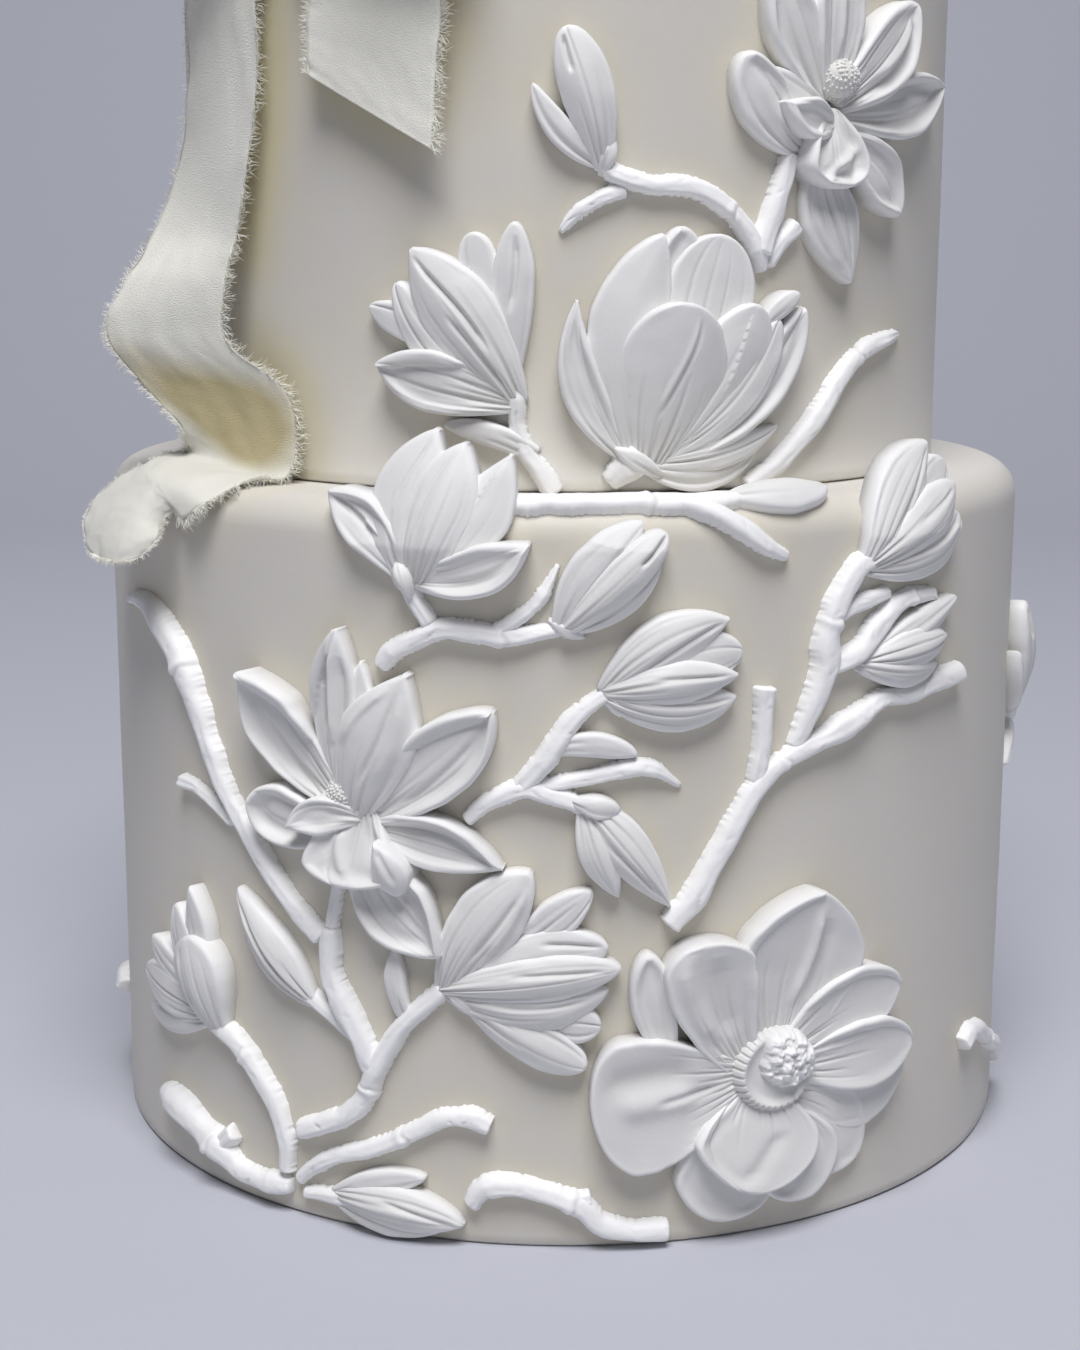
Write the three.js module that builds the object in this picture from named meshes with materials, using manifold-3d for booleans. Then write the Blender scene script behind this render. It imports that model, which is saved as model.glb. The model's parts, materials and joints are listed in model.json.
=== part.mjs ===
// A two-tier wedding cake in ivory fondant, with moulded white sugar magnolias and bare twigs
// laid over its wall, and a torn silk ribbon tied at the upper rim. Millimetres, +Z up, front towards -Y.
import * as THREE from "three";
import { mergeVertices } from "three/addons/utils/BufferGeometryUtils.js";
import Module from "manifold-3d";

const wasm = await Module();
wasm.setup();

// Driving dimensions: a 10 inch cake under an 8 inch one, each with its fondant.
const LOWER_RADIUS = 130;
const UPPER_RADIUS = 106;
const LOWER_HEIGHT = 188;
const UPPER_HEIGHT = 180;
const RIM_ROUND = 9;
const GAP = 0.3;
const CAKE_SIDES = 42;
const ROUND_STEPS = 3;
const RIBBON_THICK = 1.2;

// Relief: how deep pieces reach into the wall before they are cut back, how far a blade runs back
// into its stalk, and how its tip and edges are thinned. Longer and wider blades get finer nets.
const BITE = 1.2;
const TUCK = 2;
const TIP_CROWDING = 1.35;
const BLUNT_TIP = 0.3;
const EDGE_DROP = 0.9;
const LEAST_THICK = 0.8;
const SHORT_BLADE = 40;
const NARROW_BLADE = 18;
const CROWN_WIDTH = 0.55;

const HALF_TURN = Math.PI;
const DEGREE = Math.PI / 180;

// Materials: fondant, moulded sugar and raw silk.
const fondant = new THREE.MeshStandardMaterial({ color: "#efebe0", roughness: 0.55 });
const sugar = new THREE.MeshStandardMaterial({ color: "#f6f5f2", roughness: 0.5 });
const silk = new THREE.MeshStandardMaterial({ color: "#e9e5d2", roughness: 0.8, side: THREE.DoubleSide });

// The tiers, each with the height of its own foot and the radius of its wall.
const lower = { radius: LOWER_RADIUS, foot: 0, top: LOWER_HEIGHT };
const upper = { radius: UPPER_RADIUS, foot: LOWER_HEIGHT, top: LOWER_HEIGHT + UPPER_HEIGHT };

// Solids for joining and cutting

function solidOf(geometry) {
  const bare = geometry.clone();
  bare.deleteAttribute("normal");
  bare.deleteAttribute("uv");
  const merged = mergeVertices(bare, 1e-4);
  return new wasm.Manifold(
    new wasm.Mesh({
      numProp: 3,
      vertProperties: merged.attributes.position.array,
      triVerts: new Uint32Array(merged.index.array),
    }),
  );
}

function geometryOf(solid) {
  const mesh = solid.getMesh();
  const geometry = new THREE.BufferGeometry();
  geometry.setAttribute("position", new THREE.BufferAttribute(mesh.vertProperties, 3));
  geometry.setIndex(new THREE.BufferAttribute(mesh.triVerts, 1));
  geometry.computeVertexNormals();
  return geometry;
}

function named(name, geometry, material) {
  const mesh = new THREE.Mesh(geometry, material);
  mesh.name = name;
  return mesh;
}

// A tier: a drum with a rounded rim.
function tierGeometry(tier, grow, footGap) {
  const wall = tier.radius + grow;
  const foot = tier.foot + footGap;
  const top = tier.top + grow;
  const profile = [new THREE.Vector2(0, foot), new THREE.Vector2(wall, foot)];
  for (let step = 0; step <= ROUND_STEPS; step += 1) {
    const bend = (step / ROUND_STEPS) * (HALF_TURN / 2);
    const round = RIM_ROUND + grow;
    profile.push(
      new THREE.Vector2(wall - round + round * Math.cos(bend), top - round + round * Math.sin(bend)),
    );
  }
  profile.push(new THREE.Vector2(0, top));
  const drum = new THREE.LatheGeometry(profile, CAKE_SIDES);
  drum.rotateX(HALF_TURN / 2);
  return drum;
}

// Relief: pieces are shaped as (s, v, h), where s runs round the wall from the front, v is the
// height and h stands out of the wall, and are then laid on the tier.

function layOnWall(tier, lean) {
  return (s, v, h) => {
    const past = Math.max(0, v - lean.from);
    const radius = tier.radius + h - lean.slope * past;
    const turn = s / tier.radius;
    return new THREE.Vector3(radius * Math.sin(turn), -radius * Math.cos(turn), v);
  };
}

// Over the rim: v goes up the wall, round the rim and in along the ledge, by its own length.
function layOverRim(tier) {
  const roundLength = RIM_ROUND * (HALF_TURN / 2);
  return (s, v, h) => {
    const past = v - (tier.top - RIM_ROUND);
    const bend = THREE.MathUtils.clamp(past / RIM_ROUND, 0, HALF_TURN / 2);
    const inward = Math.max(0, past - roundLength);
    const below = Math.min(0, past);
    const radius = tier.radius - RIM_ROUND + (RIM_ROUND + h) * Math.cos(bend) - inward;
    const height = tier.top - RIM_ROUND + (RIM_ROUND + h) * Math.sin(bend) + below;
    const turn = s / tier.radius;
    return new THREE.Vector3(radius * Math.sin(turn), -radius * Math.cos(turn), height);
  };
}

const NO_LEAN = { from: 1e6, slope: 0 };
const onLower = layOnWall(lower, NO_LEAN);
const onUpper = layOnWall(upper, NO_LEAN);
const pastLowerRim = layOnWall(lower, { from: 178, slope: 0.32 });
const overLowerRim = layOverRim(lower);

// A blade: a petal, leaf or bud scale. It runs from foot to tip, bows sideways (right is +) and
// swells to its width at the belly. lift gives its height at foot, middle and tip, cup raises its
// edges (a negative cup domes it) and lean raises its right edge over its left.
function blade(foot, tip, wide, look = {}) {
  const { belly = 0.55, neck = 0.3, point = 0.5, bow = 0, lift = [2, 5, 3.5], cup = 0, lean = 0 } = look;
  const end = new THREE.Vector2(...tip);
  const span = end.clone().sub(new THREE.Vector2(...foot));
  const along = span.length() > SHORT_BLADE ? 4 : 3;
  const across = wide > NARROW_BLADE ? 3 : 2;
  const start = end.clone().sub(span.clone().setLength(span.length() + TUCK));
  const right = new THREE.Vector2(span.y, -span.x).normalize();
  const middle = start.clone().add(end).multiplyScalar(0.5).addScaledVector(right, 2 * bow);
  const spine = new THREE.QuadraticBezierCurve(start, middle, end);
  const geometry = new THREE.BoxGeometry(1, 1, 1, across, along, 1);
  const place = geometry.attributes.position;
  for (let i = 0; i < place.count; i += 1) {
    const t = 1 - (0.5 - place.getY(i)) ** TIP_CROWDING;
    const u = 2 * place.getX(i);
    const half = (wide / 2) * Math.max(BLUNT_TIP * (1.1 - point), bladeSwell(t, belly, neck, point));
    const here = spine.getPoint(t);
    const way = spine.getTangent(t);
    const s = here.x + way.y * u * half;
    const v = here.y - way.x * u * half;
    const fade = 4 * t * (1 - t);
    const spineLift = lift[0] * (1 - t) * (1 - 2 * t) + lift[1] * fade + lift[2] * t * (2 * t - 1);
    const edge = Math.abs(u) > 0.9 || t > 0.99 ? EDGE_DROP : 0;
    const h = Math.max(LEAST_THICK, spineLift + (cup * u * u + lean * u) * fade - edge);
    place.setXYZ(i, s, v, place.getZ(i) > 0 ? h : -BITE);
  }
  return geometry;
}

function bladeSwell(t, belly, neck, point) {
  if (t < belly) return neck + (1 - neck) * Math.sin(((HALF_TURN / 2) * t) / belly);
  const past = (t - belly) / (1 - belly);
  const blunt = Math.sqrt(Math.max(0, 1 - past * past));
  const sharp = 1 - past ** 1.6;
  return THREE.MathUtils.lerp(blunt, sharp, point);
}

// A twig: a rod along hand-set points, as thick as its list says from end to end, flat on its back.
function twig(points, thick, look = {}) {
  const { steps = Math.ceil(1.2 * (points.length - 1)), lift = 0.62 } = look;
  const route = new THREE.SplineCurve(points.map(([s, v]) => new THREE.Vector2(s, v)));
  const geometry = new THREE.BoxGeometry(1, 1, 1, 1, steps, 1);
  const place = geometry.attributes.position;
  for (let i = 0; i < place.count; i += 1) {
    const t = place.getY(i) + 0.5;
    const wide = listAt(thick, t);
    const crown = place.getZ(i) > 0;
    const here = route.getPoint(t);
    const way = route.getTangent(t);
    const side = place.getX(i) * wide * (crown ? CROWN_WIDTH : 1);
    place.setXYZ(i, here.x + way.y * side, here.y - way.x * side, crown ? wide * lift : -BITE);
  }
  return geometry;
}

function listAt(values, t) {
  const reach = t * (values.length - 1);
  const low = Math.min(values.length - 2, Math.floor(reach));
  return THREE.MathUtils.lerp(values[low], values[low + 1], reach - low);
}

// A dome: the stamens' boss, or a knot on a twig.
function dome(centre, radius, height, look = {}) {
  const { around = 8, up = 4 } = look;
  const geometry = new THREE.SphereGeometry(1, around, up);
  geometry.rotateX(HALF_TURN / 2);
  geometry.scale(radius, radius, height);
  geometry.translate(centre[0], centre[1], 0);
  return geometry;
}

// Sprays on the lower tier

const leftBranch = [
  twig(
    [[-141, 155], [-129, 156], [-119, 154], [-110, 147], [-103, 138], [-99, 130], [-96, 121], [-91, 111],
      [-84, 102], [-76, 92], [-68, 83], [-61, 77]],
    [4, 6, 9, 9, 7.5, 7, 7, 6.5, 6, 5.5],
  ),
  twig([[-110, 108.5], [-103, 109.5], [-95, 108.5], [-88, 106]], [2.5, 4, 4]),
];

const openMagnolia = [
  blade([-56, 114], [-80.5, 143], 19, { belly: 0.68, bow: -1.5, cup: 2.5, lift: [3, 3.5, 6], point: 0.7 }),
  blade([-51, 118], [-49.5, 152], 9, { lift: [2, 3, 3] }),
  blade([-55, 117], [-53.5, 157], 12.5, { belly: 0.7, lift: [3, 4.5, 7], cup: -1, bow: -1.5 }),
  blade([-46, 111], [-15.5, 139], 18, { belly: 0.62, bow: 1, lift: [3, 5, 5], cup: -1, point: 0.7 }),
  blade([-50, 111], [-36, 147], 20, { belly: 0.58, bow: -1, lift: [4, 8, 6], cup: -2, point: 0.8 }),
  blade([-56, 107], [-79, 113], 15, { belly: 0.65, bow: -3, lift: [2, 3, 6], cup: 2, point: 0.3 }),
  blade([-45, 107], [-13, 100], 13.5, { belly: 0.5, bow: -2, lift: [3, 4.5, 5], cup: 1.5, point: 0.8 }),
  blade([-49, 102], [-28, 77], 19, { belly: 0.55, bow: 1.5, lift: [3, 4, 5.5], cup: 1.5, point: 0.8 }),
  blade([-50, 109], [-50, 95], 18, { belly: 0.8, lift: [4, 9, 8], point: 0 }),
  blade([-50, 108], [-66, 105], 8, { belly: 0.4, lift: [5, 8, 8], point: 1 }),
  dome([-53.5, 115.5], 4.3, 7),
  twig([[-55, 97], [-57, 88], [-58.5, 80]], [3.6, 3.6, 4]),
];

const rimMagnolia = [
  blade([-37, 170], [-57.5, 190], 12, { belly: 0.62, bow: 2.5, lift: [3, 5, 5], cup: 1.2, point: 0.7 }),
  blade([-35, 170], [-31, 205], 19, { belly: 0.6, bow: -3.5, lift: [3, 6, 4], cup: -1.5 }),
  blade([-33, 170], [-12, 199.5], 15, { belly: 0.6, bow: 2.5, lift: [3, 5, 4], cup: -1, point: 0.7 }),
  blade([-34, 170], [-23.5, 202], 17, { belly: 0.62, lift: [4, 8, 5], cup: -2, point: 0.5 }),
  blade([-31, 173], [-7, 179.5], 11.5, { belly: 0.62, bow: 3, lift: [3, 6, 7], cup: 1.5, point: 0.7 }),
  dome([-36, 171], 3, 5.5),
  twig([[-36.5, 170], [-35, 165], [-31, 159]], [5, 4.4, 4.4]),
  twig(
    [[-43.6, 147.8], [-40.5, 152], [-35, 155], [-28, 158], [-20, 157.5], [-13, 156.5], [-6, 157.5], [1, 159]],
    [4, 5.5, 5, 5.2, 5.5, 5, 4, 3],
  ),
  twig([[-16, 157.5], [-8, 162.5], [-4, 167], [-0.5, 174]], [4, 4, 3.6, 1.2]),
  blade([1, 159], [20, 183], 12, { belly: 0.55, bow: -2.5, lift: [3, 6, 3], cup: -2 }),
  blade([2, 159.5], [21.5, 177], 8, { belly: 0.6, bow: 2.2, lift: [3, 7, 4], cup: -1 }),
];

const midSpray = [
  twig([[-22.5, 111], [-16, 116.5], [-9, 119.5], [-3, 118.5], [3, 116.5], [7, 114]], [3.6, 4.4, 4.6, 4, 4]),
  twig([[-10, 119], [-4, 126], [0, 132], [5, 138.5], [12.5, 144]], [4, 5.4, 5, 4, 3.4]),
  blade([-2, 129], [18.5, 128], 5, { bow: -2.2, lift: [2, 3.4, 2.4], neck: 0.6 }),
  twig(
    [[-7, 119.5], [0, 121], [8, 122.5], [16, 124.5], [23, 124], [29.5, 119.5]],
    [3, 3.4, 3.6, 4.6, 4, 1.2],
  ),
  blade([12, 143.5], [43, 152.5], 14, { belly: 0.6, bow: -2, lift: [2.5, 4, 3], cup: -1, point: 0.2 }),
  blade([12, 144], [40, 160.5], 10.5, { belly: 0.55, bow: -3, lift: [3, 6, 3.5], cup: -1.5, point: 0.8 }),
  blade([12, 143], [42, 141.5], 10.5, { belly: 0.55, bow: 2.6, lift: [3, 5.5, 3.5], cup: -1.5, point: 0.6 }),
  blade([12, 143.5], [42, 147], 8.5, { bow: -0.8, lift: [3.5, 7.5, 4.5], cup: -1.5, point: 0.8 }),
  blade([12, 143.5], [17, 138.5], 3, { lift: [2, 3, 2] }),
  blade([7, 115.5], [26.5, 89.5], 11, { belly: 0.42, bow: -0.6, lift: [3, 6.5, 3], cup: -2, point: 0.7 }),
  blade([6.5, 114], [14.5, 93], 7.5, { belly: 0.5, bow: 1, lift: [3, 5, 3], cup: -1, point: 0.6 }),
  blade([5, 115], [13.5, 115], 4, { lift: [3.5, 5.5, 4], point: 0.2 }),
];

const rightBranch = [
  twig(
    [[27, 84.5], [33.5, 92.5], [40, 104], [46, 114], [52, 121.5], [60, 126], [70, 129.5], [79, 133.5],
      [86, 136.5], [95, 136.5], [105, 138], [118, 138]],
    [6.5, 7, 6.5, 6, 5.4, 4.6, 5, 6.4, 5.4, 4, 5.4, 4.6, 1.2],
  ),
  twig([[50, 121], [50.5, 131], [51, 143]], [5, 4.8, 6]),
  twig(
    [[59, 127], [63, 136], [67, 146], [67.5, 155], [71, 163.5], [76, 170.5], [81, 172]],
    [4, 6, 7.4, 7, 6.4, 6, 5],
  ),
  twig([[67, 156], [73, 160], [80, 162], [87.5, 163.5]], [3, 3.8, 4, 1.5]),
  twig([[68, 146], [77, 149.5], [84, 155.5], [90, 160], [97, 161.5], [103, 161]], [5, 6, 5, 4.4, 3.4, 1.5]),
  blade([81, 171.5], [108, 192.5], 12, { belly: 0.6, bow: -2, lift: [3, 4.5, 3] }),
  blade([80.5, 171.5], [97, 199.5], 14, { belly: 0.6, bow: -3, lift: [3, 6.5, 4], cup: -1.5 }),
  blade([81, 171], [110.5, 182], 12, { belly: 0.6, bow: 3, lift: [3, 6, 4], cup: -1.5 }),
  blade([81, 171.5], [108, 187.5], 9, { belly: 0.6, bow: -1.5, lift: [3, 8, 5], cup: -1.5 }),
  blade([80, 147], [111, 158.5], 8, { belly: 0.45, bow: 0.5, lift: [3, 5, 4], cup: -1, point: 0.7 }),
  blade([82, 147], [107, 150], 8.5, { belly: 0.5, lift: [3, 7, 4], cup: -1.5, point: 0.5 }),
  blade([79, 146], [104, 143.5], 8, { belly: 0.55, bow: 1.2, lift: [3, 6, 3.5], cup: -1.5, point: 0.5 }),
];

const rosette = [
  blade([28, 52], [21.5, 78.5], 10, { belly: 0.55, bow: -1.5, lift: [2, 4, 4], point: 0.3 }),
  blade([57, 50], [66, 90], 35, { belly: 0.55, bow: -0.5, lift: [3, 4, 5.5], cup: 2.5, point: 0.35 }),
  blade([63, 39], [97.5, 41], 33, { belly: 0.55, bow: 0, lift: [3, 3, 4], cup: 1, point: 0.2 }),
  blade([58, 36], [82, 16], 26, { belly: 0.55, lift: [3, 3, 3], cup: 1, point: 0.3 }),
  blade([46, 32], [40, 6], 27, { belly: 0.6, lift: [3, 3.5, 4], cup: 1, point: 0.15 }),
  blade([56, 32], [67, 9], 24, { belly: 0.6, lift: [3, 4, 4.5], cup: 1, point: 0.3 }),
  blade([44, 43], [8, 37.5], 37, { belly: 0.55, bow: 0, lift: [3, 4.5, 5], cup: 2.5, point: 0.15 }),
  blade([46, 47], [36, 82.5], 23, { belly: 0.6, bow: -1.5, lift: [4, 6, 6.5], cup: 2.5, point: 0.15 }),
  blade([60, 49], [90, 61], 19, { belly: 0.6, bow: -2.5, lift: [4, 6, 5], cup: 1.5, point: 0.15 }),
  blade([63, 44], [94, 46], 19, { belly: 0.6, bow: 0, lift: [4, 6.5, 6], cup: 2, point: 0.1 }),
  blade([48, 38], [53, 15.5], 29, { belly: 0.5, bow: -1.5, lift: [4, 6.5, 7], cup: 2, point: 0.15 }),
  dome([54.5, 45], 11.5, 9, { around: 11, up: 5 }),
];

const lowSpray = [
  twig(
    [[-69, 24], [-61, 27.5], [-54, 31.5], [-49, 37], [-46.5, 44], [-43, 50.5], [-38, 58], [-28, 68]],
    [4, 5, 5, 4.6, 6, 4.6, 4.6, 4],
  ),
  twig([[-47, 44], [-50.5, 53], [-55.5, 62], [-58.5, 69], [-58.5, 77]], [5, 6.5, 7, 6, 5]),
  twig([[-47, 49], [-57, 56], [-69, 64]], [3, 3.6, 5]),
  blade([-38.5, 61], [-40.5, 77], 4.6, { bow: -1, lift: [2, 3.2, 2], neck: 0.7 }),
  blade([-66, 62], [-87, 85.5], 11, { belly: 0.45, bow: -0.6, lift: [3, 6, 3], cup: -2, point: 0.5 }),
  blade([-68, 63], [-85, 79], 6, { belly: 0.4, bow: -1.6, lift: [2.5, 4.5, 3], point: 0.7 }),
  blade([-8, 80], [7.5, 94], 8.5, { lift: [2, 3.5, 3], point: 0.5 }),
  blade([-1, 61], [10, 61], 8, { lift: [2, 3.5, 3] }),
  blade([-22, 66], [6.5, 50], 9.5, { belly: 0.62, bow: 1, lift: [3, 4.5, 4], cup: -1, point: 0.2 }),
  blade([-24, 70], [11, 79.5], 10, { belly: 0.65, bow: -2.5, lift: [3, 4.5, 3.5], cup: -1, point: 0.3 }),
  blade([-27, 68.5], [-7, 98.5], 15, { belly: 0.6, bow: -1.5, lift: [3, 6.5, 4.5], cup: -2, point: 0.4 }),
  blade([-26, 67.5], [11.5, 71], 9.5, { belly: 0.6, bow: 4, lift: [3, 6, 4], cup: -1.5, point: 0.6 }),
  blade([-27, 68], [14, 75], 9, { belly: 0.62, bow: -1, lift: [3.5, 8, 5], cup: -1.5, point: 0.4 }),
  blade([-26, 67], [-18, 62.5], 4, { lift: [2.5, 3.5, 2.5] }),
];

const farLeftBud = [
  twig([[-73.5, 11.4], [-73.5, 19], [-76, 28], [-82, 36.5], [-89, 43], [-98, 46]], [4.5, 5, 5.5, 6, 6, 5]),
  blade([-104, 46], [-131, 42.5], 7, { bow: -1, lift: [2, 3, 2.5] }),
  blade([-104, 49], [-129, 54.5], 12, { lift: [2, 4, 4], point: 0.7 }),
  blade([-106, 55], [-125, 63.5], 7, { lift: [2, 4, 4], point: 0.7 }),
  blade([-105, 56], [-111, 76], 8, { lift: [2, 4, 3.5], point: 0.3 }),
  blade([-102, 56], [-104.5, 82], 9.5, { belly: 0.6, bow: 1, lift: [3, 5, 5], point: 0.3 }),
  blade([-97, 46], [-103, 69.5], 18, { belly: 0.62, lift: [3, 8, 7], cup: -2, point: 0.05 }),
];

const lowLeftBranch = [
  twig(
    [[-127, 18.5], [-117, 18.5], [-107, 15.5], [-98, 12], [-90, 7.8], [-81, 7.2], [-72, 7.8]],
    [3, 8, 8.5, 8, 8.5, 6.5, 4.5],
  ),
  twig([[-98, 12], [-92, 17.5]], [6, 5.4]),
];

const lowTwig = [
  twig(
    [[-69.5, 10], [-64, 15.5], [-56, 19.8], [-46, 23.8], [-37, 28.5], [-29, 33.5], [-22, 34.5], [-16.5, 32.5]],
    [3.4, 4, 4.2, 4.4, 4.4, 5, 5],
  ),
];

const lowBud = [
  twig([[-68, 6.8], [-60, 8], [-52, 8.5]], [3, 3.6, 4]),
  blade([-58, 9], [-33, 17.5], 5, { bow: -1.2, lift: [2, 3.6, 2.6] }),
  blade([-57, 7], [-31, 3.6], 6, { bow: 0.5, lift: [2, 4, 3] }),
  blade([-57, 8.5], [-24, 6.5], 9.6, { belly: 0.62, bow: -1.6, lift: [2.5, 6.5, 3.5], cup: -2, point: 0.5 }),
];

const lowRightTwig = [
  twig(
    [[-21.5, 11], [-17.5, 16.5], [-10, 17], [-3, 15.5], [5, 12.3], [11, 7], [19, 5], [28, 4.4]],
    [4.5, 6, 6, 5.4, 6, 6, 6, 5.4],
  ),
  twig([[4, 13], [8.5, 14]], [4.6, 4.6]),
];

const rimTwig = [
  twig([[-5, 188.8], [3, 189], [18, 189.2], [32, 188.6], [44, 189.5], [52, 190]],
    [6, 6, 6, 6.5, 5.5, 4]),
  twig([[24, 190], [33, 187], [42, 182.5], [50, 177.5], [56, 174.5]], [4, 6.4, 6.6, 6, 3], { lift: 0.9 }),
  blade([45, 189.5], [71.5, 190.5], 10.5, { belly: 0.55, lift: [3, 4.4, 3], cup: -1, point: 0.4 }),
];

// Sprays on the upper tier

const budBranch = [
  twig([[8.5, 268], [13, 264.5], [21, 262.3], [30, 262], [38, 258.5], [44, 253.5], [48.5, 247], [50, 241.5]],
    [3.4, 4.6, 4.6, 4.4, 4.8, 4.2, 5.4, 3.6]),
  twig([[-0.5, 251], [4.5, 256.3], [10, 259.5], [15, 261]], [1.4, 3.8, 3.6, 3.4]),
  blade([9, 267.5], [-7, 285.5], 5, { belly: 0.5, bow: -2.4, lift: [2.5, 4.5, 4], point: 0.2 }),
  blade([9, 267.5], [0, 299], 11.5, { belly: 0.58, bow: 1, lift: [3, 7, 3.5], cup: -2.2, point: 0.25 }),
  blade([9.5, 268], [11, 272.5], 3, { lift: [2.5, 4, 3] }),
];

const topMagnolia = [
  blade([60, 272], [43.5, 293.5], 13, { belly: 0.55, bow: -3, lift: [2.5, 4, 5], cup: -1, point: 0.3 }),
  blade([66, 284], [51, 316], 15, { belly: 0.55, bow: -2, lift: [3, 4, 4], cup: 1, point: 0.7 }),
  blade([69, 286], [70, 322], 15, { belly: 0.55, lift: [3, 5, 4], cup: 1, point: 0.7 }),
  blade([74, 280], [119, 289], 16, { belly: 0.55, bow: 2, lift: [3, 4, 4], cup: 1, point: 0.8 }),
  blade([72, 283], [98, 308], 17, { belly: 0.58, bow: 1.5, lift: [4, 7, 5], cup: -1.5, point: 0.6 }),
  blade([73, 273], [95, 255], 14, { belly: 0.6, bow: -2, lift: [2, 4, 4], cup: -1, point: 0.7 }),
  blade([66, 267], [76, 238.5], 17.5, { belly: 0.48, bow: 0.5, lift: [2, 5, 4.5], cup: -1.5, point: 0.8 }),
  blade([66, 281], [47, 290], 8, { lift: [3, 5, 5], point: 0.5, bow: -1 }),
  blade([68, 278], [67, 262], 18, { belly: 0.7, lift: [4, 9, 8.5], point: 0 }),
  blade([67, 279], [52.5, 279], 8.5, { lift: [4, 7.5, 8], point: 0.6 }),
  dome([71, 288], 5.6, 8),
  twig([[58, 270], [54, 259], [49.5, 246]], [4.6, 5.6, 6]),
  twig([[60, 253], [55.5, 249], [52, 243]], [4.6, 4.6, 3]),
];

const halfOpen = [
  blade([-13, 224], [-21, 251], 7.5, { lift: [2, 3.5, 3], point: 0.1, bow: -0.6 }),
  blade([-12, 220], [-11, 253], 8.5, { belly: 0.7, lift: [2.5, 4.5, 4], point: 0.5, cup: -1 }),
  blade([-28, 226], [-47.5, 231], 8.5, { lift: [2, 3.5, 3], point: 0.4 }),
  blade([-12, 211], [-39, 238], 11, { bow: -3, lift: [3, 5, 4], cup: -1, point: 0.2 }),
  blade([-11.5, 211.5], [-35.5, 246.5], 16, { belly: 0.6, bow: 1.4, lift: [3, 8, 5], cup: -2, point: 0.4 }),
  blade([-12, 210.5], [-44, 219], 13.5, { belly: 0.6, bow: 0, lift: [3.5, 7, 6], cup: -1.5, point: 0.7 }),
  twig([[-11, 213], [-10.7, 205], [-8.5, 198.5], [-5, 193.5], [-1.5, 188]], [4, 4, 4.8, 5, 5.4]),
  blade([-8, 198], [-28.5, 204.5], 5, { bow: 1.6, lift: [2.5, 3.6, 2.5], neck: 0.7 }),
];

const cupMagnolia = [
  blade([28, 224], [29, 252], 14, { lift: [2, 3, 2.5], point: 0.1 }),
  blade([21, 195.5], [50, 200], 8, { belly: 0.5, bow: 4.5, lift: [2.5, 3.5, 2.5], point: 0.6 }),
  blade([22, 196], [54.5, 203], 6, { belly: 0.55, bow: 1.5, lift: [2.5, 4.5, 3], point: 0.8 }),
  blade([24, 197], [60, 234], 11, { belly: 0.62, bow: 6, lift: [3, 5.5, 5], cup: 1, point: 0.2 }),
  blade([15, 199], [3.5, 234.5], 8.5, { belly: 0.45, bow: -5, lift: [3, 5, 5], cup: 1, point: 0.8 }),
  blade([28, 205], [39, 250], 22, { belly: 0.7, bow: 0, lift: [3, 4.5, 4], point: 0.1 }),
  blade([18, 198], [24.5, 250], 19, { belly: 0.6, bow: -6, lift: [3, 6.5, 4.5], cup: -1.5, point: 0.5 }),
  blade([24, 197], [46, 233.5], 19, { belly: 0.65, bow: 3, lift: [3, 6.5, 5.5], cup: -1.5, point: 0.2 }),
  blade([21, 196], [28.5, 234], 27, { belly: 0.55, bow: 0, lift: [4, 10, 7], cup: -3, point: 0.05 }),
  blade([23, 193.5], [12.5, 199.5], 4.5, { lift: [4, 6, 5] }),
  twig([[18, 197], [15, 193.5], [13, 190.5]], [7, 5.5, 3.4]),
];

const diagonalTwig = [
  twig([[47, 189], [56, 194.5], [64, 201.5], [71, 209], [77, 216], [84, 221], [93, 223.7], [103, 225]],
    [5, 6.6, 7, 7.4, 6, 5.2, 5.2, 4.6, 1.2]),
];

// Laying and cutting: pieces of a spray are joined, then cut back to both tiers with a gap.

const tierCutters = [lower, upper].map((tier) => solidOf(tierGeometry(tier, GAP, 0)));

function spray(name, pieces, lay, look = {}) {
  const { turn = 0, rise = 0, mirror = false } = look;
  const solids = pieces.map((piece) => {
    const laid = piece.clone();
    const place = laid.attributes.position;
    for (let i = 0; i < place.count; i += 1) {
      const spot = lay(place.getX(i), place.getY(i) + rise, place.getZ(i));
      place.setXYZ(i, mirror ? -spot.x : spot.x, spot.y, spot.z);
    }
    if (mirror) turnFacesRound(laid);
    laid.rotateZ(turn * DEGREE);
    return solidOf(laid);
  });
  let joined = wasm.Manifold.union(solids);
  for (const cutter of tierCutters) joined = joined.subtract(cutter);
  const loose = joined.decompose();
  const largest = loose.reduce((most, piece) => (piece.volume() > most.volume() ? piece : most));
  return named(name, geometryOf(largest), sugar);
}

function turnFacesRound(geometry) {
  const order = geometry.index.array;
  for (let i = 0; i < order.length; i += 3) {
    const first = order[i];
    order[i] = order[i + 1];
    order[i + 1] = first;
  }
}

// The ribbon: strips laid through stations, each with its left edge, middle and right edge given
// as azimuth in degrees (front 0, right +), distance from the axis, and height.

function polar([azimuth, radius, height]) {
  const turn = azimuth * DEGREE;
  return new THREE.Vector3(radius * Math.sin(turn), -radius * Math.cos(turn), height);
}

const PROBE = 0.01;

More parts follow.
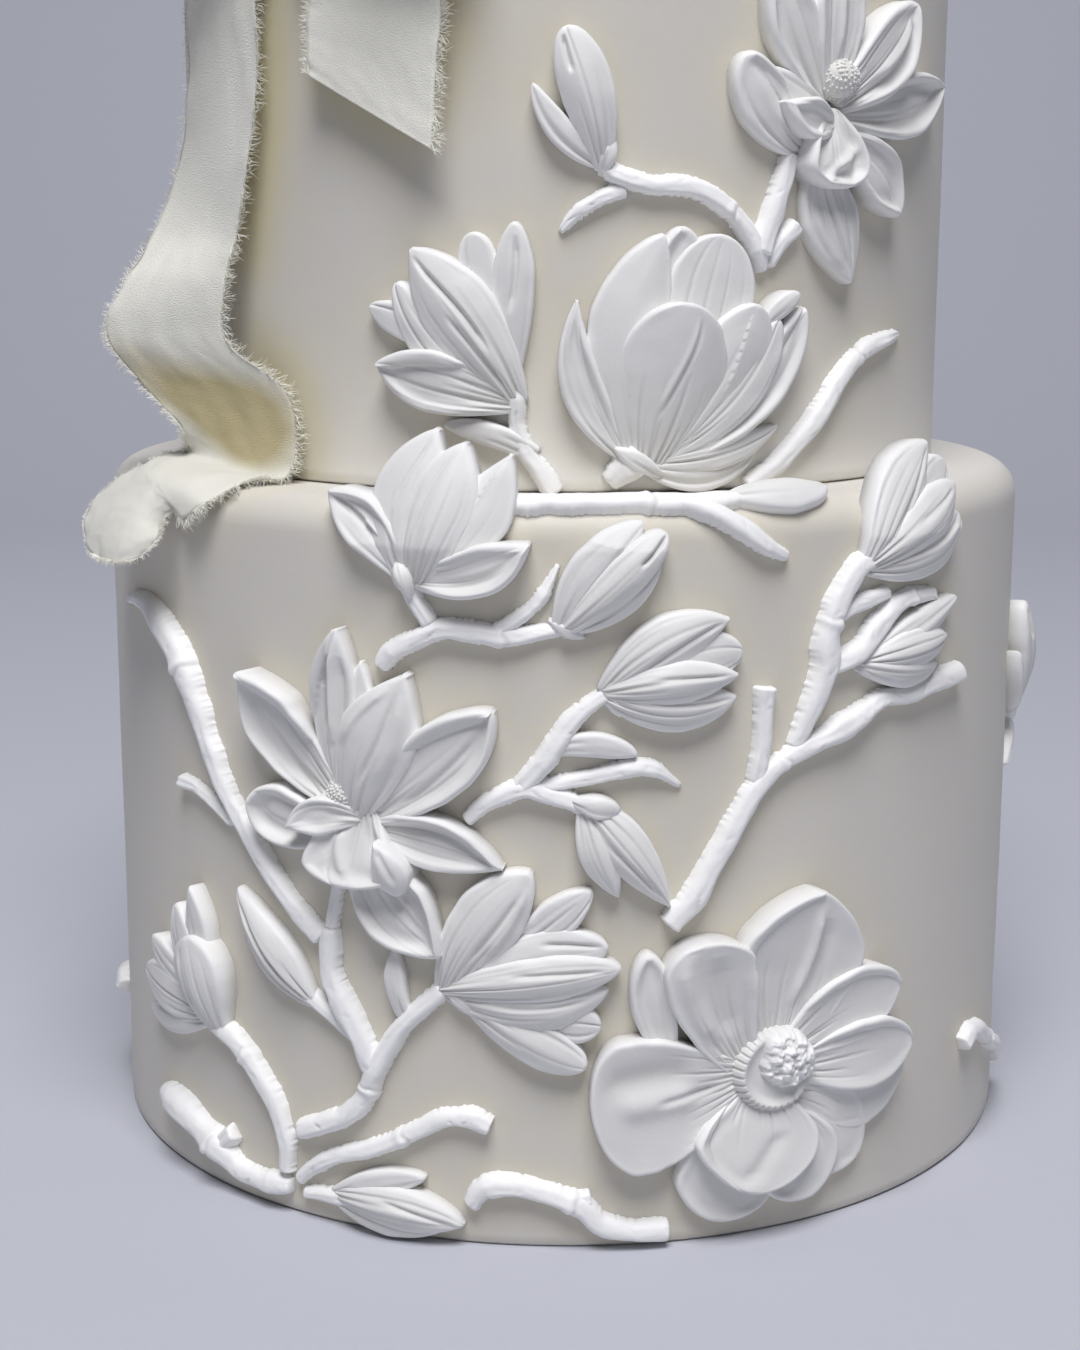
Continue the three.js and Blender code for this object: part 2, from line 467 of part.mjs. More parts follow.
function strip(name, stations, steps) {
  const rails = [0, 1, 2].map((edge) => new THREE.CatmullRomCurve3(stations.map((row) => polar(row[edge]))));
  const at = (t, u) => {
    const [left, middle, right] = rails.map((rail) => rail.getPoint(THREE.MathUtils.clamp(t, 0, 1)));
    const point = left.multiplyScalar((u * (u - 1)) / 2);
    return point.addScaledVector(middle, 1 - u * u).addScaledVector(right, (u * (u + 1)) / 2);
  };
  const geometry = new THREE.BoxGeometry(1, 1, 1, 2, steps, 1);
  const place = geometry.attributes.position;
  for (let i = 0; i < place.count; i += 1) {
    const t = place.getY(i) + 0.5;
    const u = 2 * place.getX(i);
    const across = at(t, u + PROBE).sub(at(t, u - PROBE));
    const down = at(Math.min(1, t + PROBE), u).sub(at(Math.max(0, t - PROBE), u));
    const out = across.cross(down).setLength(RIBBON_THICK * place.getZ(i));
    const spot = at(t, u).add(out);
    place.setXYZ(i, spot.x, spot.y, spot.z);
  }
  return named(name, geometryOf(solidOf(geometry)), silk);
}

const longTail = [
  [[-46, 109.4, 341], [-42.5, 109, 341], [-39.8, 109.4, 341]],
  [[-58, 110, 327], [-49.5, 108.4, 327], [-41, 110, 327]],
  [[-63.5, 110, 309], [-53.8, 108.4, 309], [-44, 110, 309]],
  [[-63.3, 110.5, 288], [-53.5, 109, 288], [-43.8, 110.5, 288]],
  [[-65.3, 110.5, 268], [-55, 110, 268], [-45.5, 111.5, 268]],
  [[-66.3, 115, 251], [-56.5, 113, 251], [-46.8, 112.5, 251]],
  [[-63.4, 130, 236], [-55.5, 121, 236], [-46.6, 113.5, 236]],
  [[-61, 137, 222], [-54, 126, 222], [-45.7, 116, 222]],
  [[-57.3, 133, 211], [-51, 119.5, 211], [-43.1, 108.8, 212]],
  [[-57.5, 120, 201], [-49.5, 112.5, 200.5], [-39.5, 109, 200]],
  [[-58, 117.5, 196], [-48, 113.5, 191.8], [-38.3, 112.5, 190.4]],
  [[-60, 116, 193], [-50, 121.5, 190.8], [-41.5, 129.5, 187.5]],
  [[-64, 117.5, 191.6], [-55.5, 128.5, 190], [-47, 134.5, 179]],
  [[-69, 121, 191], [-63, 132, 184.5], [-57.5, 136, 166.5]],
  [[-75, 124, 190.4], [-70.5, 134, 181], [-66.5, 137.5, 161]],
  [[-83, 124.5, 190.4], [-80, 134, 181], [-78, 137, 164]],
];

const shortTail = [
  [[-37.2, 109.4, 341], [-34, 109, 341], [-30.8, 109.4, 341]],
  [[-38, 110.5, 327], [-28.5, 109.5, 327], [-19.5, 111.5, 327]],
  [[-34, 111.5, 310], [-24.5, 110.5, 309], [-15, 112.5, 308]],
  [[-33.4, 112.5, 298], [-24.3, 112, 292], [-15.2, 114.5, 287]],
  [[-33, 113.5, 288], [-24.2, 113.5, 279], [-15.5, 116, 270]],
];

// Each loop leaves the knot in front, rounds its end and comes back against the wall.
const KNOT_AZIMUTH = -38;
const KNOT_HEIGHT = 350;
const KNOT_OUT = 114.2;
const KNOT_HALF_SIZE = [7.4, 5.6, 10.5];
const loopRoute = [
  [4.3, 116, 8], [10, 121.5, 14], [17, 126, 17.5], [24, 126, 18], [28.5, 120.5, 18], [26, 114.2, 17.5],
  [19, 112.9, 16], [12, 112.5, 12], [4.3, 112.5, 7.5],
];
const LOOP_DROOP = 0.25;

function loopStations(side) {
  return loopRoute.map(([away, radius, half]) => {
    const azimuth = KNOT_AZIMUTH + side * away;
    const height = KNOT_HEIGHT - LOOP_DROOP * away;
    const row = [height - half, height, height + half].map((level) => [azimuth, radius, level]);
    return side > 0 ? row : row.reverse();
  });
}

function knot(name) {
  const ball = new THREE.SphereGeometry(1, 8, 6);
  ball.scale(...KNOT_HALF_SIZE);
  ball.rotateZ(KNOT_AZIMUTH * DEGREE);
  const centre = polar([KNOT_AZIMUTH, KNOT_OUT, KNOT_HEIGHT + 1]);
  ball.translate(centre.x, centre.y, centre.z);
  return named(name, geometryOf(solidOf(ball)), silk);
}

const cake = new THREE.Group();
cake.add(named("lower_tier", tierGeometry(lower, 0, 0), fondant));
cake.add(named("upper_tier", tierGeometry(upper, 0, GAP), fondant));

cake.add(spray("left_branch", leftBranch, onLower));
cake.add(spray("open_magnolia", [...openMagnolia, ...lowSpray], onLower));
cake.add(spray("rim_magnolia", rimMagnolia, pastLowerRim));
cake.add(spray("mid_spray", midSpray, onLower));
cake.add(spray("right_branch", rightBranch, pastLowerRim));
cake.add(spray("rosette", rosette, onLower));
cake.add(spray("far_left_bud", farLeftBud, onLower));
cake.add(spray("low_left_branch", lowLeftBranch, onLower));
cake.add(spray("low_twig", lowTwig, onLower));
cake.add(spray("low_bud", lowBud, onLower));
cake.add(spray("low_right_twig", lowRightTwig, onLower));
cake.add(spray("rim_twig", rimTwig, overLowerRim));
cake.add(spray("top_spray", [...topMagnolia, ...budBranch], onUpper));
cake.add(spray("half_open_magnolia", halfOpen, onUpper));
cake.add(spray("cup_magnolia", cupMagnolia, onUpper));
cake.add(spray("diagonal_twig", diagonalTwig, onUpper));

// Round the sides and back the same moulds are laid again, turned and mirrored.
cake.add(spray("side_bud", budBranch, onLower, { turn: 78, rise: -150 }));
cake.add(spray("side_twig", lowTwig, onLower, { turn: 50, mirror: true }));
cake.add(spray("back_branch", leftBranch, onLower, { turn: 95, mirror: true, rise: -30 }));
cake.add(spray("back_left_branch", leftBranch, onLower, { turn: -105, rise: -12 }));
cake.add(spray("left_side_twig", lowTwig, onLower, { turn: -70 }));
cake.add(spray("upper_side_magnolia", halfOpen, onUpper, { turn: 95, mirror: true }));
cake.add(spray("upper_back_bud", budBranch, onUpper, { turn: 170 }));

cake.add(strip("ribbon_long_tail", longTail, 24));
cake.add(strip("ribbon_short_tail", shortTail, 6));
cake.add(strip("ribbon_left_loop", loopStations(-1), 11));
cake.add(strip("ribbon_right_loop", loopStations(1), 11));
cake.add(knot("ribbon_knot"));

export default cake;
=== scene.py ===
"""A two-tier wedding cake: ivory fondant, moulded sugar magnolias on bare twigs, and a torn silk ribbon."""

import json
import math
import random

import bmesh
import bpy
from mathutils import Matrix, Vector, kdtree, noise

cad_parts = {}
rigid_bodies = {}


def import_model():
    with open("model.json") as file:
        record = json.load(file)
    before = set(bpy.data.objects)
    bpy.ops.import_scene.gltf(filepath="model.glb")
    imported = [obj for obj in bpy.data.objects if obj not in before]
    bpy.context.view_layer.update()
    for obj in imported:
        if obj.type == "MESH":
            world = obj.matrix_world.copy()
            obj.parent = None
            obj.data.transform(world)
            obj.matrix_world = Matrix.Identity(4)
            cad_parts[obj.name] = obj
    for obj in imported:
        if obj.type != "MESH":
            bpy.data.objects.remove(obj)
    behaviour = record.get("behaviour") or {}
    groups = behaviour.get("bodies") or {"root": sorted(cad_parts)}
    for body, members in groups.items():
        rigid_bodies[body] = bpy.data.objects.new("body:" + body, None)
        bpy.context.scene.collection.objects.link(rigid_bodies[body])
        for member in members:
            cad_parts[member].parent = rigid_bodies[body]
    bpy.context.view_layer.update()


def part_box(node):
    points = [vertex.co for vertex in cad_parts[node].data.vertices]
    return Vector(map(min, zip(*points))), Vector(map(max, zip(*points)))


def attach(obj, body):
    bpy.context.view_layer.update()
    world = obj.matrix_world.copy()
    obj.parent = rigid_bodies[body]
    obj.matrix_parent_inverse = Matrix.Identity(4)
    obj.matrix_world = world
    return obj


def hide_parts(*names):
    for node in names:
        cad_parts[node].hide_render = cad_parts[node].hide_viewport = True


bl_info = {
    "name": "Sugar Magnolia Cake",
    "version": (1, 0, 0),
    "blender": (4, 5, 0),
    "location": "View3D > Sidebar > Cake",
    "description": "Dresses a two-tier cake with fondant, sugar magnolias and a silk ribbon",
    "category": "Object",
}

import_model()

MM = 0.001
LOWER_RADIUS = 130.0
UPPER_RADIUS = 106.0
RIM_ROUND = 9.0
LOWER_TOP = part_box("lower_tier")[1].z / MM
UPPER_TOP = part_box("upper_tier")[1].z / MM


class CakeSizes(bpy.types.PropertyGroup):
    """Sizes of the cake and its relief."""

    lower_radius: bpy.props.FloatProperty(
        name="Lower radius", description="Radius of the lower tier's wall",
        default=LOWER_RADIUS * MM, unit="LENGTH",
    )
    upper_radius: bpy.props.FloatProperty(
        name="Upper radius", description="Radius of the upper tier's wall",
        default=UPPER_RADIUS * MM, unit="LENGTH",
    )
    rim_round: bpy.props.FloatProperty(
        name="Rim rounding", description="Radius of each tier's rounded rim",
        default=RIM_ROUND * MM, unit="LENGTH",
    )
    petal_edge: bpy.props.FloatProperty(
        name="Petal edge", description="Rounding of the petals' thick edges", default=0.0010, unit="LENGTH"
    )
    petal_detail: bpy.props.FloatProperty(
        name="Petal detail", description="Cells across each millimetre of a petal",
        default=2.7, min=0.5, max=4,
    )
    silk_thickness: bpy.props.FloatProperty(
        name="Silk thickness", description="Thickness of the ribbon's cloth", default=0.0003, unit="LENGTH"
    )
    fringe_length: bpy.props.FloatProperty(
        name="Fringe length", description="Longest thread at the torn edges", default=0.006, unit="LENGTH"
    )


class CakeColours(bpy.types.PropertyGroup):
    """Colours of the fondant, the sugar and the silk, and of the light and shade painted on them."""

    fondant: bpy.props.FloatVectorProperty(
        name="Fondant", description="Rolled icing on both tiers", subtype="COLOR", size=3,
        default=(0.70, 0.671, 0.618), min=0, max=1,
    )
    # Painted bounce light: the yellower icing painted beside the relief, standing in for light the sugar
    # throws on it
    fondant_painted_bounce: bpy.props.FloatVectorProperty(
        name="Fondant by the relief", description="Icing where the sugar beside it lights it warmly",
        subtype="COLOR", size=3, default=(0.715, 0.672, 0.57), min=0, max=1,
    )
    # Painted light: the yellow icing painted beside the ribbon, standing in for light through the silk
    fondant_by_silk: bpy.props.FloatVectorProperty(
        name="Fondant by the ribbon", description="Icing that the light through the silk yellows",
        subtype="COLOR", size=3, default=(0.69, 0.63, 0.42), min=0, max=1,
    )
    # Painted light: the paler icing painted on the upper wall's foot, standing in for light from the ledge
    # below
    fondant_painted_ledge_light: bpy.props.FloatVectorProperty(
        name="Fondant above the ledge", description="Icing that the ledge under it lights up",
        subtype="COLOR", size=3, default=(0.95, 0.925, 0.86), min=0, max=1,
    )
    sugar: bpy.props.FloatVectorProperty(
        name="Sugar", description="Moulded sugar of the petals", subtype="COLOR", size=3,
        default=(0.765, 0.757, 0.738), min=0, max=1,
    )
    # Painted highlight: the whiter sugar painted on twigs, raised edges and mounds, standing in for brighter
    # light there
    powder: bpy.props.FloatVectorProperty(
        name="Powder", description="Fine sugar brushed on the twigs and on raised edges",
        subtype="COLOR", size=3, default=(0.935, 0.93, 0.92), min=0, max=1,
    )
    silk: bpy.props.FloatVectorProperty(
        name="Silk", description="Raw silk of the ribbon", subtype="COLOR", size=3,
        default=(0.865, 0.85, 0.76), min=0, max=1,
    )
    # Painted shade: the darker, yellower silk painted on the undersides of the folds
    silk_shade: bpy.props.FloatVectorProperty(
        name="Silk in folds", description="The yellower silk on the underside of the folds",
        subtype="COLOR", size=3, default=(0.53, 0.455, 0.25), min=0, max=1,
    )


# Materials

GROOVE_PAINTED_SHADE = (0.88, 0.865, 0.80)
WEAVE_SCALE = (0.55, 2.2, 1)


def new_material(name, colour, roughness):
    material = bpy.data.materials.new(name)
    material.use_nodes = True
    shader = material.node_tree.nodes["Principled BSDF"]
    shader.inputs["Base Color"].default_value = (*colour, 1)
    shader.inputs["Roughness"].default_value = roughness
    return material, material.node_tree, shader


def noise_node(tree, coordinates, scale, detail):
    node = tree.nodes.new("ShaderNodeTexNoise")
    node.inputs["Scale"].default_value = scale
    node.inputs["Detail"].default_value = detail
    tree.links.new(coordinates, node.inputs["Vector"])
    return node


def bump(tree, shader, height, strength, distance):
    node = tree.nodes.new("ShaderNodeBump")
    node.inputs["Strength"].default_value = strength
    node.inputs["Distance"].default_value = distance
    tree.links.new(height, node.inputs["Height"])
    tree.links.new(node.outputs["Normal"], shader.inputs["Normal"])


def scaled(colour, factor):
    return tuple(min(1.0, channel * factor) for channel in colour)


def fondant_material(colour):
    """Rolled fondant: satin, a little translucent, with painted bounce light, yellower beside the relief and
    the ribbon, and painted light from the ledge on the upper wall's foot.
    """
    colours = bpy.context.scene.cake_colours
    material, tree, shader = new_material("ivory_fondant", colour, 0.5)
    place = tree.nodes.new("ShaderNodeTexCoord").outputs["Object"]
    cloud = noise_node(tree, place, 22, 3)
    factor = added(tree, attribute_value(tree, "warm"), cloud.outputs["Fac"], 0.08)
    # Painted bounce light beside the relief and painted light through the ribbon, both yellowing the icing's
    # colour
    steps = [(0.0, colour), (0.4, tuple(colours.fondant_painted_bounce)), (1.0, tuple(colours.fondant_by_silk))]
    colour_steps(tree, shader, factor, steps)
    # Painted light from the ledge, paling the upper wall's foot
    glow = tree.nodes.new("ShaderNodeMix")
    glow.data_type = "RGBA"
    glow.inputs["B"].default_value = (*colours.fondant_painted_ledge_light, 1)
    tree.links.new(attribute_value(tree, "glow"), glow.inputs["Factor"])
    tree.links.new(shader.inputs["Base Color"].links[0].from_socket, glow.inputs["A"])
    tree.links.new(glow.outputs["Result"], shader.inputs["Base Color"])
    grain = noise_node(tree, place, 1400, 2)
    bump(tree, shader, grain.outputs["Fac"], 0.12, 0.0002)
    shader.inputs["Specular IOR Level"].default_value = 0.4
    shader.inputs["Subsurface Weight"].default_value = 0.4
    shader.inputs["Subsurface Radius"].default_value = (1.0, 0.8, 0.45)
    shader.inputs["Subsurface Scale"].default_value = 0.003
    return material


def added(tree, first, second, share):
    """first + share * (second - 0.5)"""
    node = tree.nodes.new("ShaderNodeMath")
    node.operation = "MULTIPLY_ADD"
    node.inputs[1].default_value = share
    tree.links.new(second, node.inputs[0])
    less = tree.nodes.new("ShaderNodeMath")
    less.operation = "SUBTRACT"
    less.inputs[1].default_value = share / 2
    tree.links.new(first, less.inputs[0])
    tree.links.new(less.outputs[0], node.inputs[2])
    return node.outputs[0]


def colour_steps(tree, shader, factor, steps):
    """A ramp through (place, colour) steps into the shader's colour."""
    ramp = tree.nodes.new("ShaderNodeValToRGB")
    elements = ramp.color_ramp.elements
    while len(elements) < len(steps):
        elements.new(0.5)
    for element, (place, colour) in zip(elements, steps):
        element.position = place
        element.color = (*colour, 1)
    tree.links.new(factor, ramp.inputs["Fac"])
    tree.links.new(ramp.outputs["Color"], shader.inputs["Base Color"])


def attribute_value(tree, name):
    node = tree.nodes.new("ShaderNodeAttribute")
    node.attribute_name = name
    return node.outputs["Fac"]


def sugar_material(colour):
    """Moulded sugar paste, matt all over, with painted shade in its grooves, nicks and notches and a whiter
    painted highlight on its raised edges, mounds and twigs.
    """
    powder = tuple(bpy.context.scene.cake_colours.powder)
    # The colour of the painted shade in the grooves
    groove = tuple(channel * share for channel, share in zip(colour, GROOVE_PAINTED_SHADE))
    material, tree, shader = new_material("white_sugar", colour, 0.5)
    place = tree.nodes.new("ShaderNodeTexCoord").outputs["Object"]
    cloud = noise_node(tree, place, 90, 3)
    factor = added(tree, attribute_value(tree, "powder"), cloud.outputs["Fac"], 0.16)
    colour_steps(tree, shader, factor, [(0.0, groove), (0.45, colour), (1.0, powder)])
    grain = noise_node(tree, place, 900, 3)
    bump(tree, shader, grain.outputs["Fac"], 0.2, 0.0003)
    shader.inputs["Specular IOR Level"].default_value = 0.35
    return material


def silk_material(colour):
    """Raw silk: a plain weave with slubs and crepe grain, in millimetres on the cloth's own map, with
    painted shade on the undersides of its folds.
    """
    shade = tuple(bpy.context.scene.cake_colours.silk_shade)
    material, tree, shader = new_material("raw_silk", colour, 0.75)
    place = tree.nodes.new("ShaderNodeUVMap")
    place.uv_map = "cloth"
    weft = tree.nodes.new("ShaderNodeMapping")
    weft.inputs["Scale"].default_value = WEAVE_SCALE
    tree.links.new(place.outputs["UV"], weft.inputs["Vector"])
    slub = noise_node(tree, weft.outputs["Vector"], 1.5, 4)
    factor = added(tree, attribute_value(tree, "shade"), slub.outputs["Fac"], 0.14)
    colour_steps(tree, shader, factor, [(0.0, colour), (0.3, scaled(colour, 0.95)), (1.0, shade)])
    crepe = noise_node(tree, place.outputs["UV"], 2.6, 3)
    grain = tree.nodes.new("ShaderNodeMath")
    grain.operation = "ADD"
    tree.links.new(slub.outputs["Fac"], grain.inputs[0])
    tree.links.new(crepe.outputs["Fac"], grain.inputs[1])
    bump(tree, shader, grain.outputs[0], 0.55, 0.0005)
    shader.inputs["Sheen Weight"].default_value = 0.35
    return material


def thread_material(colour):
    """Loose silk threads, as pale as the cloth."""
    material, tree, shader = new_material("silk_thread", colour, 0.7)
    place = tree.nodes.new("ShaderNodeTexCoord").outputs["Object"]
    cloud = noise_node(tree, place, 300, 2)
    steps = [(0.3, scaled(colour, 0.96)), (0.7, scaled(colour, 1.04))]
    colour_steps(tree, shader, cloud.outputs["Fac"], steps)
    return material


# Shared steps

def finish_piece(name, mesh_data, material, node_names):
    """Turns a bmesh in millimetres into a piece in metres that stands for CAD nodes."""
    bmesh.ops.scale(mesh_data, vec=(MM, MM, MM), verts=mesh_data.verts)
    mesh = bpy.data.meshes.new(name)
    mesh_data.to_mesh(mesh)
    mesh_data.free()
    piece = bpy.data.objects.new(name, mesh)
    bpy.context.scene.collection.objects.link(piece)
    mesh.materials.append(material)
    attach(piece, "root")
    if node_names:
        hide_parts(*node_names)
    return piece


def material_of(kind):
    """The material of a finish, made when it is first asked for."""
    makers = {
        "fondant": ("ivory_fondant", fondant_material, "fondant"),
        "sugar": ("white_sugar", sugar_material, "sugar"),
        "silk": ("raw_silk", silk_material, "silk"),
        "thread": ("silk_thread", thread_material, "silk"),
    }
    name, maker, colour = makers[kind]
    return bpy.data.materials.get(name) or maker(tuple(getattr(bpy.context.scene.cake_colours, colour)))


# Tiers

DRUM_TURNS = 360
WALL_STEP = 2.2
RIM_STEPS = 12
TOP_RINGS = 14
FOOT_BEVEL = 1
HAND_WAVE = 0.16
HAND_WAVE_LONG = 38
HAND_WAVE_SHORT = 14
TIER_GAP = 0.3

# How far, in millimetres, the painted bounce light of the relief, the ribbon and the ledge reaches, and how
# strong it is
RELIEF_BOUNCE_REACH = 6.0
SILK_LIGHT_REACH = 8.0
LEDGE_LIGHT_REACH = 62.0
RELIEF_STAND_OFF = 1.5
SILK_STAND_OFF = 8.0
RELIEF_SHARE = 0.4
SILK_SHARES = {"lower_tier": 0.25, "upper_tier": 0.9}


def drum(mesh_data, radius, foot, top, rim):
    """Spins a wall, rounded rim and top round the axis, then lays a hand's faint unevenness on it."""
    wall_foot = foot + FOOT_BEVEL
    outline = [Vector((0, 0, foot)), Vector((radius - FOOT_BEVEL, 0, foot)), Vector((radius, 0, wall_foot))]
    rows = int((top - rim - foot) / WALL_STEP)
    wall = top - rim - foot - FOOT_BEVEL
    outline += [Vector((radius, 0, wall_foot + wall * k / rows)) for k in range(1, rows + 1)]
    for k in range(1, RIM_STEPS + 1):
        bend = k / RIM_STEPS * math.pi / 2
        outline.append(Vector((radius - rim + rim * math.cos(bend), 0, top - rim + rim * math.sin(bend))))
    outline += [Vector(((radius - rim) * (1 - k / TOP_RINGS), 0, top)) for k in range(1, TOP_RINGS + 1)]
    verts = [mesh_data.verts.new(point) for point in outline]
    edges = [mesh_data.edges.new(pair) for pair in zip(verts, verts[1:])]
    bmesh.ops.spin(
        mesh_data, geom=verts + edges, cent=(0, 0, 0), axis=(0, 0, 1), dvec=(0, 0, 0),
        angle=2 * math.pi, steps=DRUM_TURNS, use_merge=True, use_duplicate=False,
    )
    bmesh.ops.remove_doubles(mesh_data, verts=mesh_data.verts, dist=1e-4)
    for vert in mesh_data.verts:
        reach = math.hypot(vert.co.x, vert.co.y)
        if reach < 1 or vert.co.z < foot + 0.5:
            continue
        wave = HAND_WAVE * noise.noise(vert.co / HAND_WAVE_LONG)
        wave += 0.4 * HAND_WAVE * noise.noise(vert.co / HAND_WAVE_SHORT)
        if reach > radius - rim:
            vert.co.x += wave * vert.co.x / reach
            vert.co.y += wave * vert.co.y / reach
        else:
            vert.co.z += wave
    bmesh.ops.recalc_face_normals(mesh_data, faces=mesh_data.faces)
    for face in mesh_data.faces:
        face.smooth = True


def nearness(mesh, pieces, radius, stand_off, reach):
    """How near each vertex of a tier is to pieces that stand within stand_off of its wall, from 0 to 1."""
    spots = []
    for piece in pieces:
        for vertex in piece.data.vertices:
            if abs(math.hypot(vertex.co.x, vertex.co.y) / MM - radius) < stand_off:
                spots.append(vertex.co)
    tree = kdtree.KDTree(len(spots))
    for k, spot in enumerate(spots):
        tree.insert(spot, k)
    tree.balance()
    away = [max(0.0, tree.find(vertex.co)[2] / MM - stand_off * 0.7) for vertex in mesh.vertices]
    return [math.exp(-((distance / reach) ** 1.2)) for distance in away]


def paint_icing_light(name, radius):
    """Marks painted bounce light in the icing's colour beside the relief and the ribbon, and painted light
    from the ledge on the upper wall's foot.
    """
    mesh = bpy.data.objects[name + "_icing"].data
    reliefs = [piece for piece in bpy.context.scene.objects if piece.name.endswith("_relief")]
    silks = [piece for piece in bpy.context.scene.objects if piece.name.endswith("_tail_silk")]
    beside_relief = nearness(mesh, reliefs, radius, RELIEF_STAND_OFF, RELIEF_BOUNCE_REACH)
    beside_silk = nearness(mesh, silks, radius, SILK_STAND_OFF, SILK_LIGHT_REACH)
    warm = mesh.attributes.new("warm", "FLOAT", "POINT")
    glow = mesh.attributes.new("glow", "FLOAT", "POINT")
    for vertex in mesh.vertices:
        k = vertex.index
        warm.data[k].value = min(1.0, RELIEF_SHARE * beside_relief[k] + SILK_SHARES[name] * beside_silk[k])
        # Painted light from the ledge, strongest at the upper wall's foot and fading upwards
        if name == "upper_tier":
            over_ledge = vertex.co.z / MM - LOWER_TOP
            lit = max(0.0, 1 - over_ledge / LEDGE_LIGHT_REACH) ** 3
            glow.data[k].value = lit * (1 - 0.5 * beside_silk[k])


def tier(name, radius, foot, top):
    mesh_data = bmesh.new()
    drum(mesh_data, radius, foot, top, bpy.context.scene.cake_sizes.rim_round / MM)
    return finish_piece(name + "_icing", mesh_data, material_of("fondant"), [name])


# Laying relief on the tiers: s runs round the wall from the front, v is height, h stands out

LEAN_FROM = 178.0
LEAN_SLOPE = 0.32


def lay_on_wall(radius_of_wall, lean=0.0):
    """Lays flat relief on a wall, leaning in with the rim above LEAN_FROM where lean is given."""
    def lay(s, v, h):
        radius = radius_of_wall + h - lean * max(0.0, v - LEAN_FROM)
        turn = s / radius_of_wall
        return Vector((radius * math.sin(turn), -radius * math.cos(turn), v))
    return lay


def lay_over_rim(s, v, h):
    """Follows the lower tier's wall, its rounded rim and then the ledge."""
    past = v - (LOWER_TOP - RIM_ROUND)
    bend = min(max(past / RIM_ROUND, 0.0), math.pi / 2)
    inward = max(0.0, past - RIM_ROUND * math.pi / 2)
    radius = LOWER_RADIUS - RIM_ROUND + (RIM_ROUND + h) * math.cos(bend) - inward
    height = LOWER_TOP - RIM_ROUND + (RIM_ROUND + h) * math.sin(bend) + min(0.0, past)
    turn = s / LOWER_RADIUS
    return Vector((radius * math.sin(turn), -radius * math.cos(turn), height))


on_lower = lay_on_wall(LOWER_RADIUS)
on_upper = lay_on_wall(UPPER_RADIUS)
past_lower_rim = lay_on_wall(LOWER_RADIUS, LEAN_SLOPE)


# Moulds

TUCK = 2.0
TIP_CROWDING = 1.6
BLUNT_TIP = 0.07
ROUNDED = 3
ROOT_DEPTH = -0.8
LOWEST_FACE = 0.2
RAGGED = 0.03
PETAL_WAVE = 0.25
KEEL_SLOPE = 1.3
KEEL_ROUNDING = 0.006
LIP_IN = 1.3
LIP_WIDTH = 1.1
HOLLOW_IN = 3.9
HOLLOW_WIDTH = 1.8
HOLLOW_SHARE = 0.55
FOLD_CREST = 0.35
FOLD_FALL = 0.5
PAINTED_EDGE_HIGHLIGHT = 1.3
TWIG_CELLS = 2.4
TWIG_COLUMNS = 20
TWIG_LOWEST = 0.05
TWIG_LEAN = 0.16
TWIG_WAVE = 0.35
TWIG_GRAIN = 0.1
NICK_REACH = 6
FIRST_NICK = (0.6, 2)
NICK_START = (0.74, 0.95)
NICK_DEPTH = (0.2, 0.7)
NICK_WIDTH = (0.25, 0.5)
NICK_SLANT = 2.2
NICK_GAPS = ((1, 3), (4, 12))
ROUGH_START = 0.92
ROUGH_DEPTH = (0.1, 0.6)
ROUGH_WIDTH = (0.2, 0.4)
ROUGH_GAPS = ((0.8, 2), (2, 7))
PAST_EDGE = 1.4
FIRST_SCRATCH = (1, 4)
SCRATCH_START = (-0.7, 0.2)
SCRATCH_REACH = (0.35, 0.8)
SCRATCH_DEPTH = (0.15, 0.4)
SCRATCH_WIDTH = 0.35
SCRATCH_SLANT = (3, 6)
SCRATCH_GAP = (5, 15)
DEEPEST_NICK = 1.1
FIRST_JOINT = (25, 50)
NEXT_JOINT = (45, 90)
JOINT_FROM_END = 6
JOINT_REACH = 4
JOINT_SWELL = 0.12
JOINT_SWELL_AT = -1.2
JOINT_SWELL_WIDTH = 1.2
JOINT_GROOVE = 0.4
JOINT_GROOVE_WIDTH = 0.5
CUT_END = 1.3
GRAINS = 150
GRAIN_SIZE = 0.42
GOLDEN_ANGLE = 2.39996
BOSS_CELLS = 110
BOSS_ROUNDING = 3.4
COLLAR_AT = 0.78
COLLAR_WIDTH = 0.13
COLLAR_RISE = 1.7
COLLAR_NICKS = 34
NOTCH_DEPTH = 0.9
MOUND_AT = (0.26, 0.27)
MOUND_SIZE = 0.66
TORN_RISE = 1.3


def mix(a, b, t):
    return a + (b - a) * t


def hump(place, centre, width):
    """1 at the centre, dying away smoothly to both sides."""
    return math.exp(-(((place - centre) / width) ** 2))


def quarter_round(distance, radius):
    """How far a rounded edge has dropped, distance in from it."""
    if distance >= radius:
        return 0.0
    return radius - math.sqrt(max(0.0, radius * radius - (radius - distance) ** 2))


def blade(foot, tip, wide, belly=0.55, neck=0.3, point=0.5, bow=0.0, lift=(2, 5, 3.5), cup=0.0,
          veins=None, vein=0.75, reach=0.68, roof=None, lip=None, fold=None, marks=()):
    """A petal, leaf or bud scale. belly is where it is widest and point how sharp its tip is, lift gives the
    heights of its foot, middle and tip, roof that of its keel, lip raises its left and right margins,
    fold = (side, start, end, width, rise) rolls a band of one margin over, and marks are modelled on it."""
    if veins is None:
        veins = max(2, int(wide / 1.8))
    if roof is None:
        roof = 0.9 if cup < 0 else 0.3
    if lip is None:
        lip = (0.5 * max(0.0, cup), 0.5 * max(0.0, cup))
    return dict(kind="blade", foot=foot, tip=tip, wide=wide, belly=belly, neck=neck, point=point, bow=bow,
                lift=lift, cup=cup, veins=veins, vein=vein, reach=reach, roof=roof, lip=lip, fold=fold,
                marks=marks)


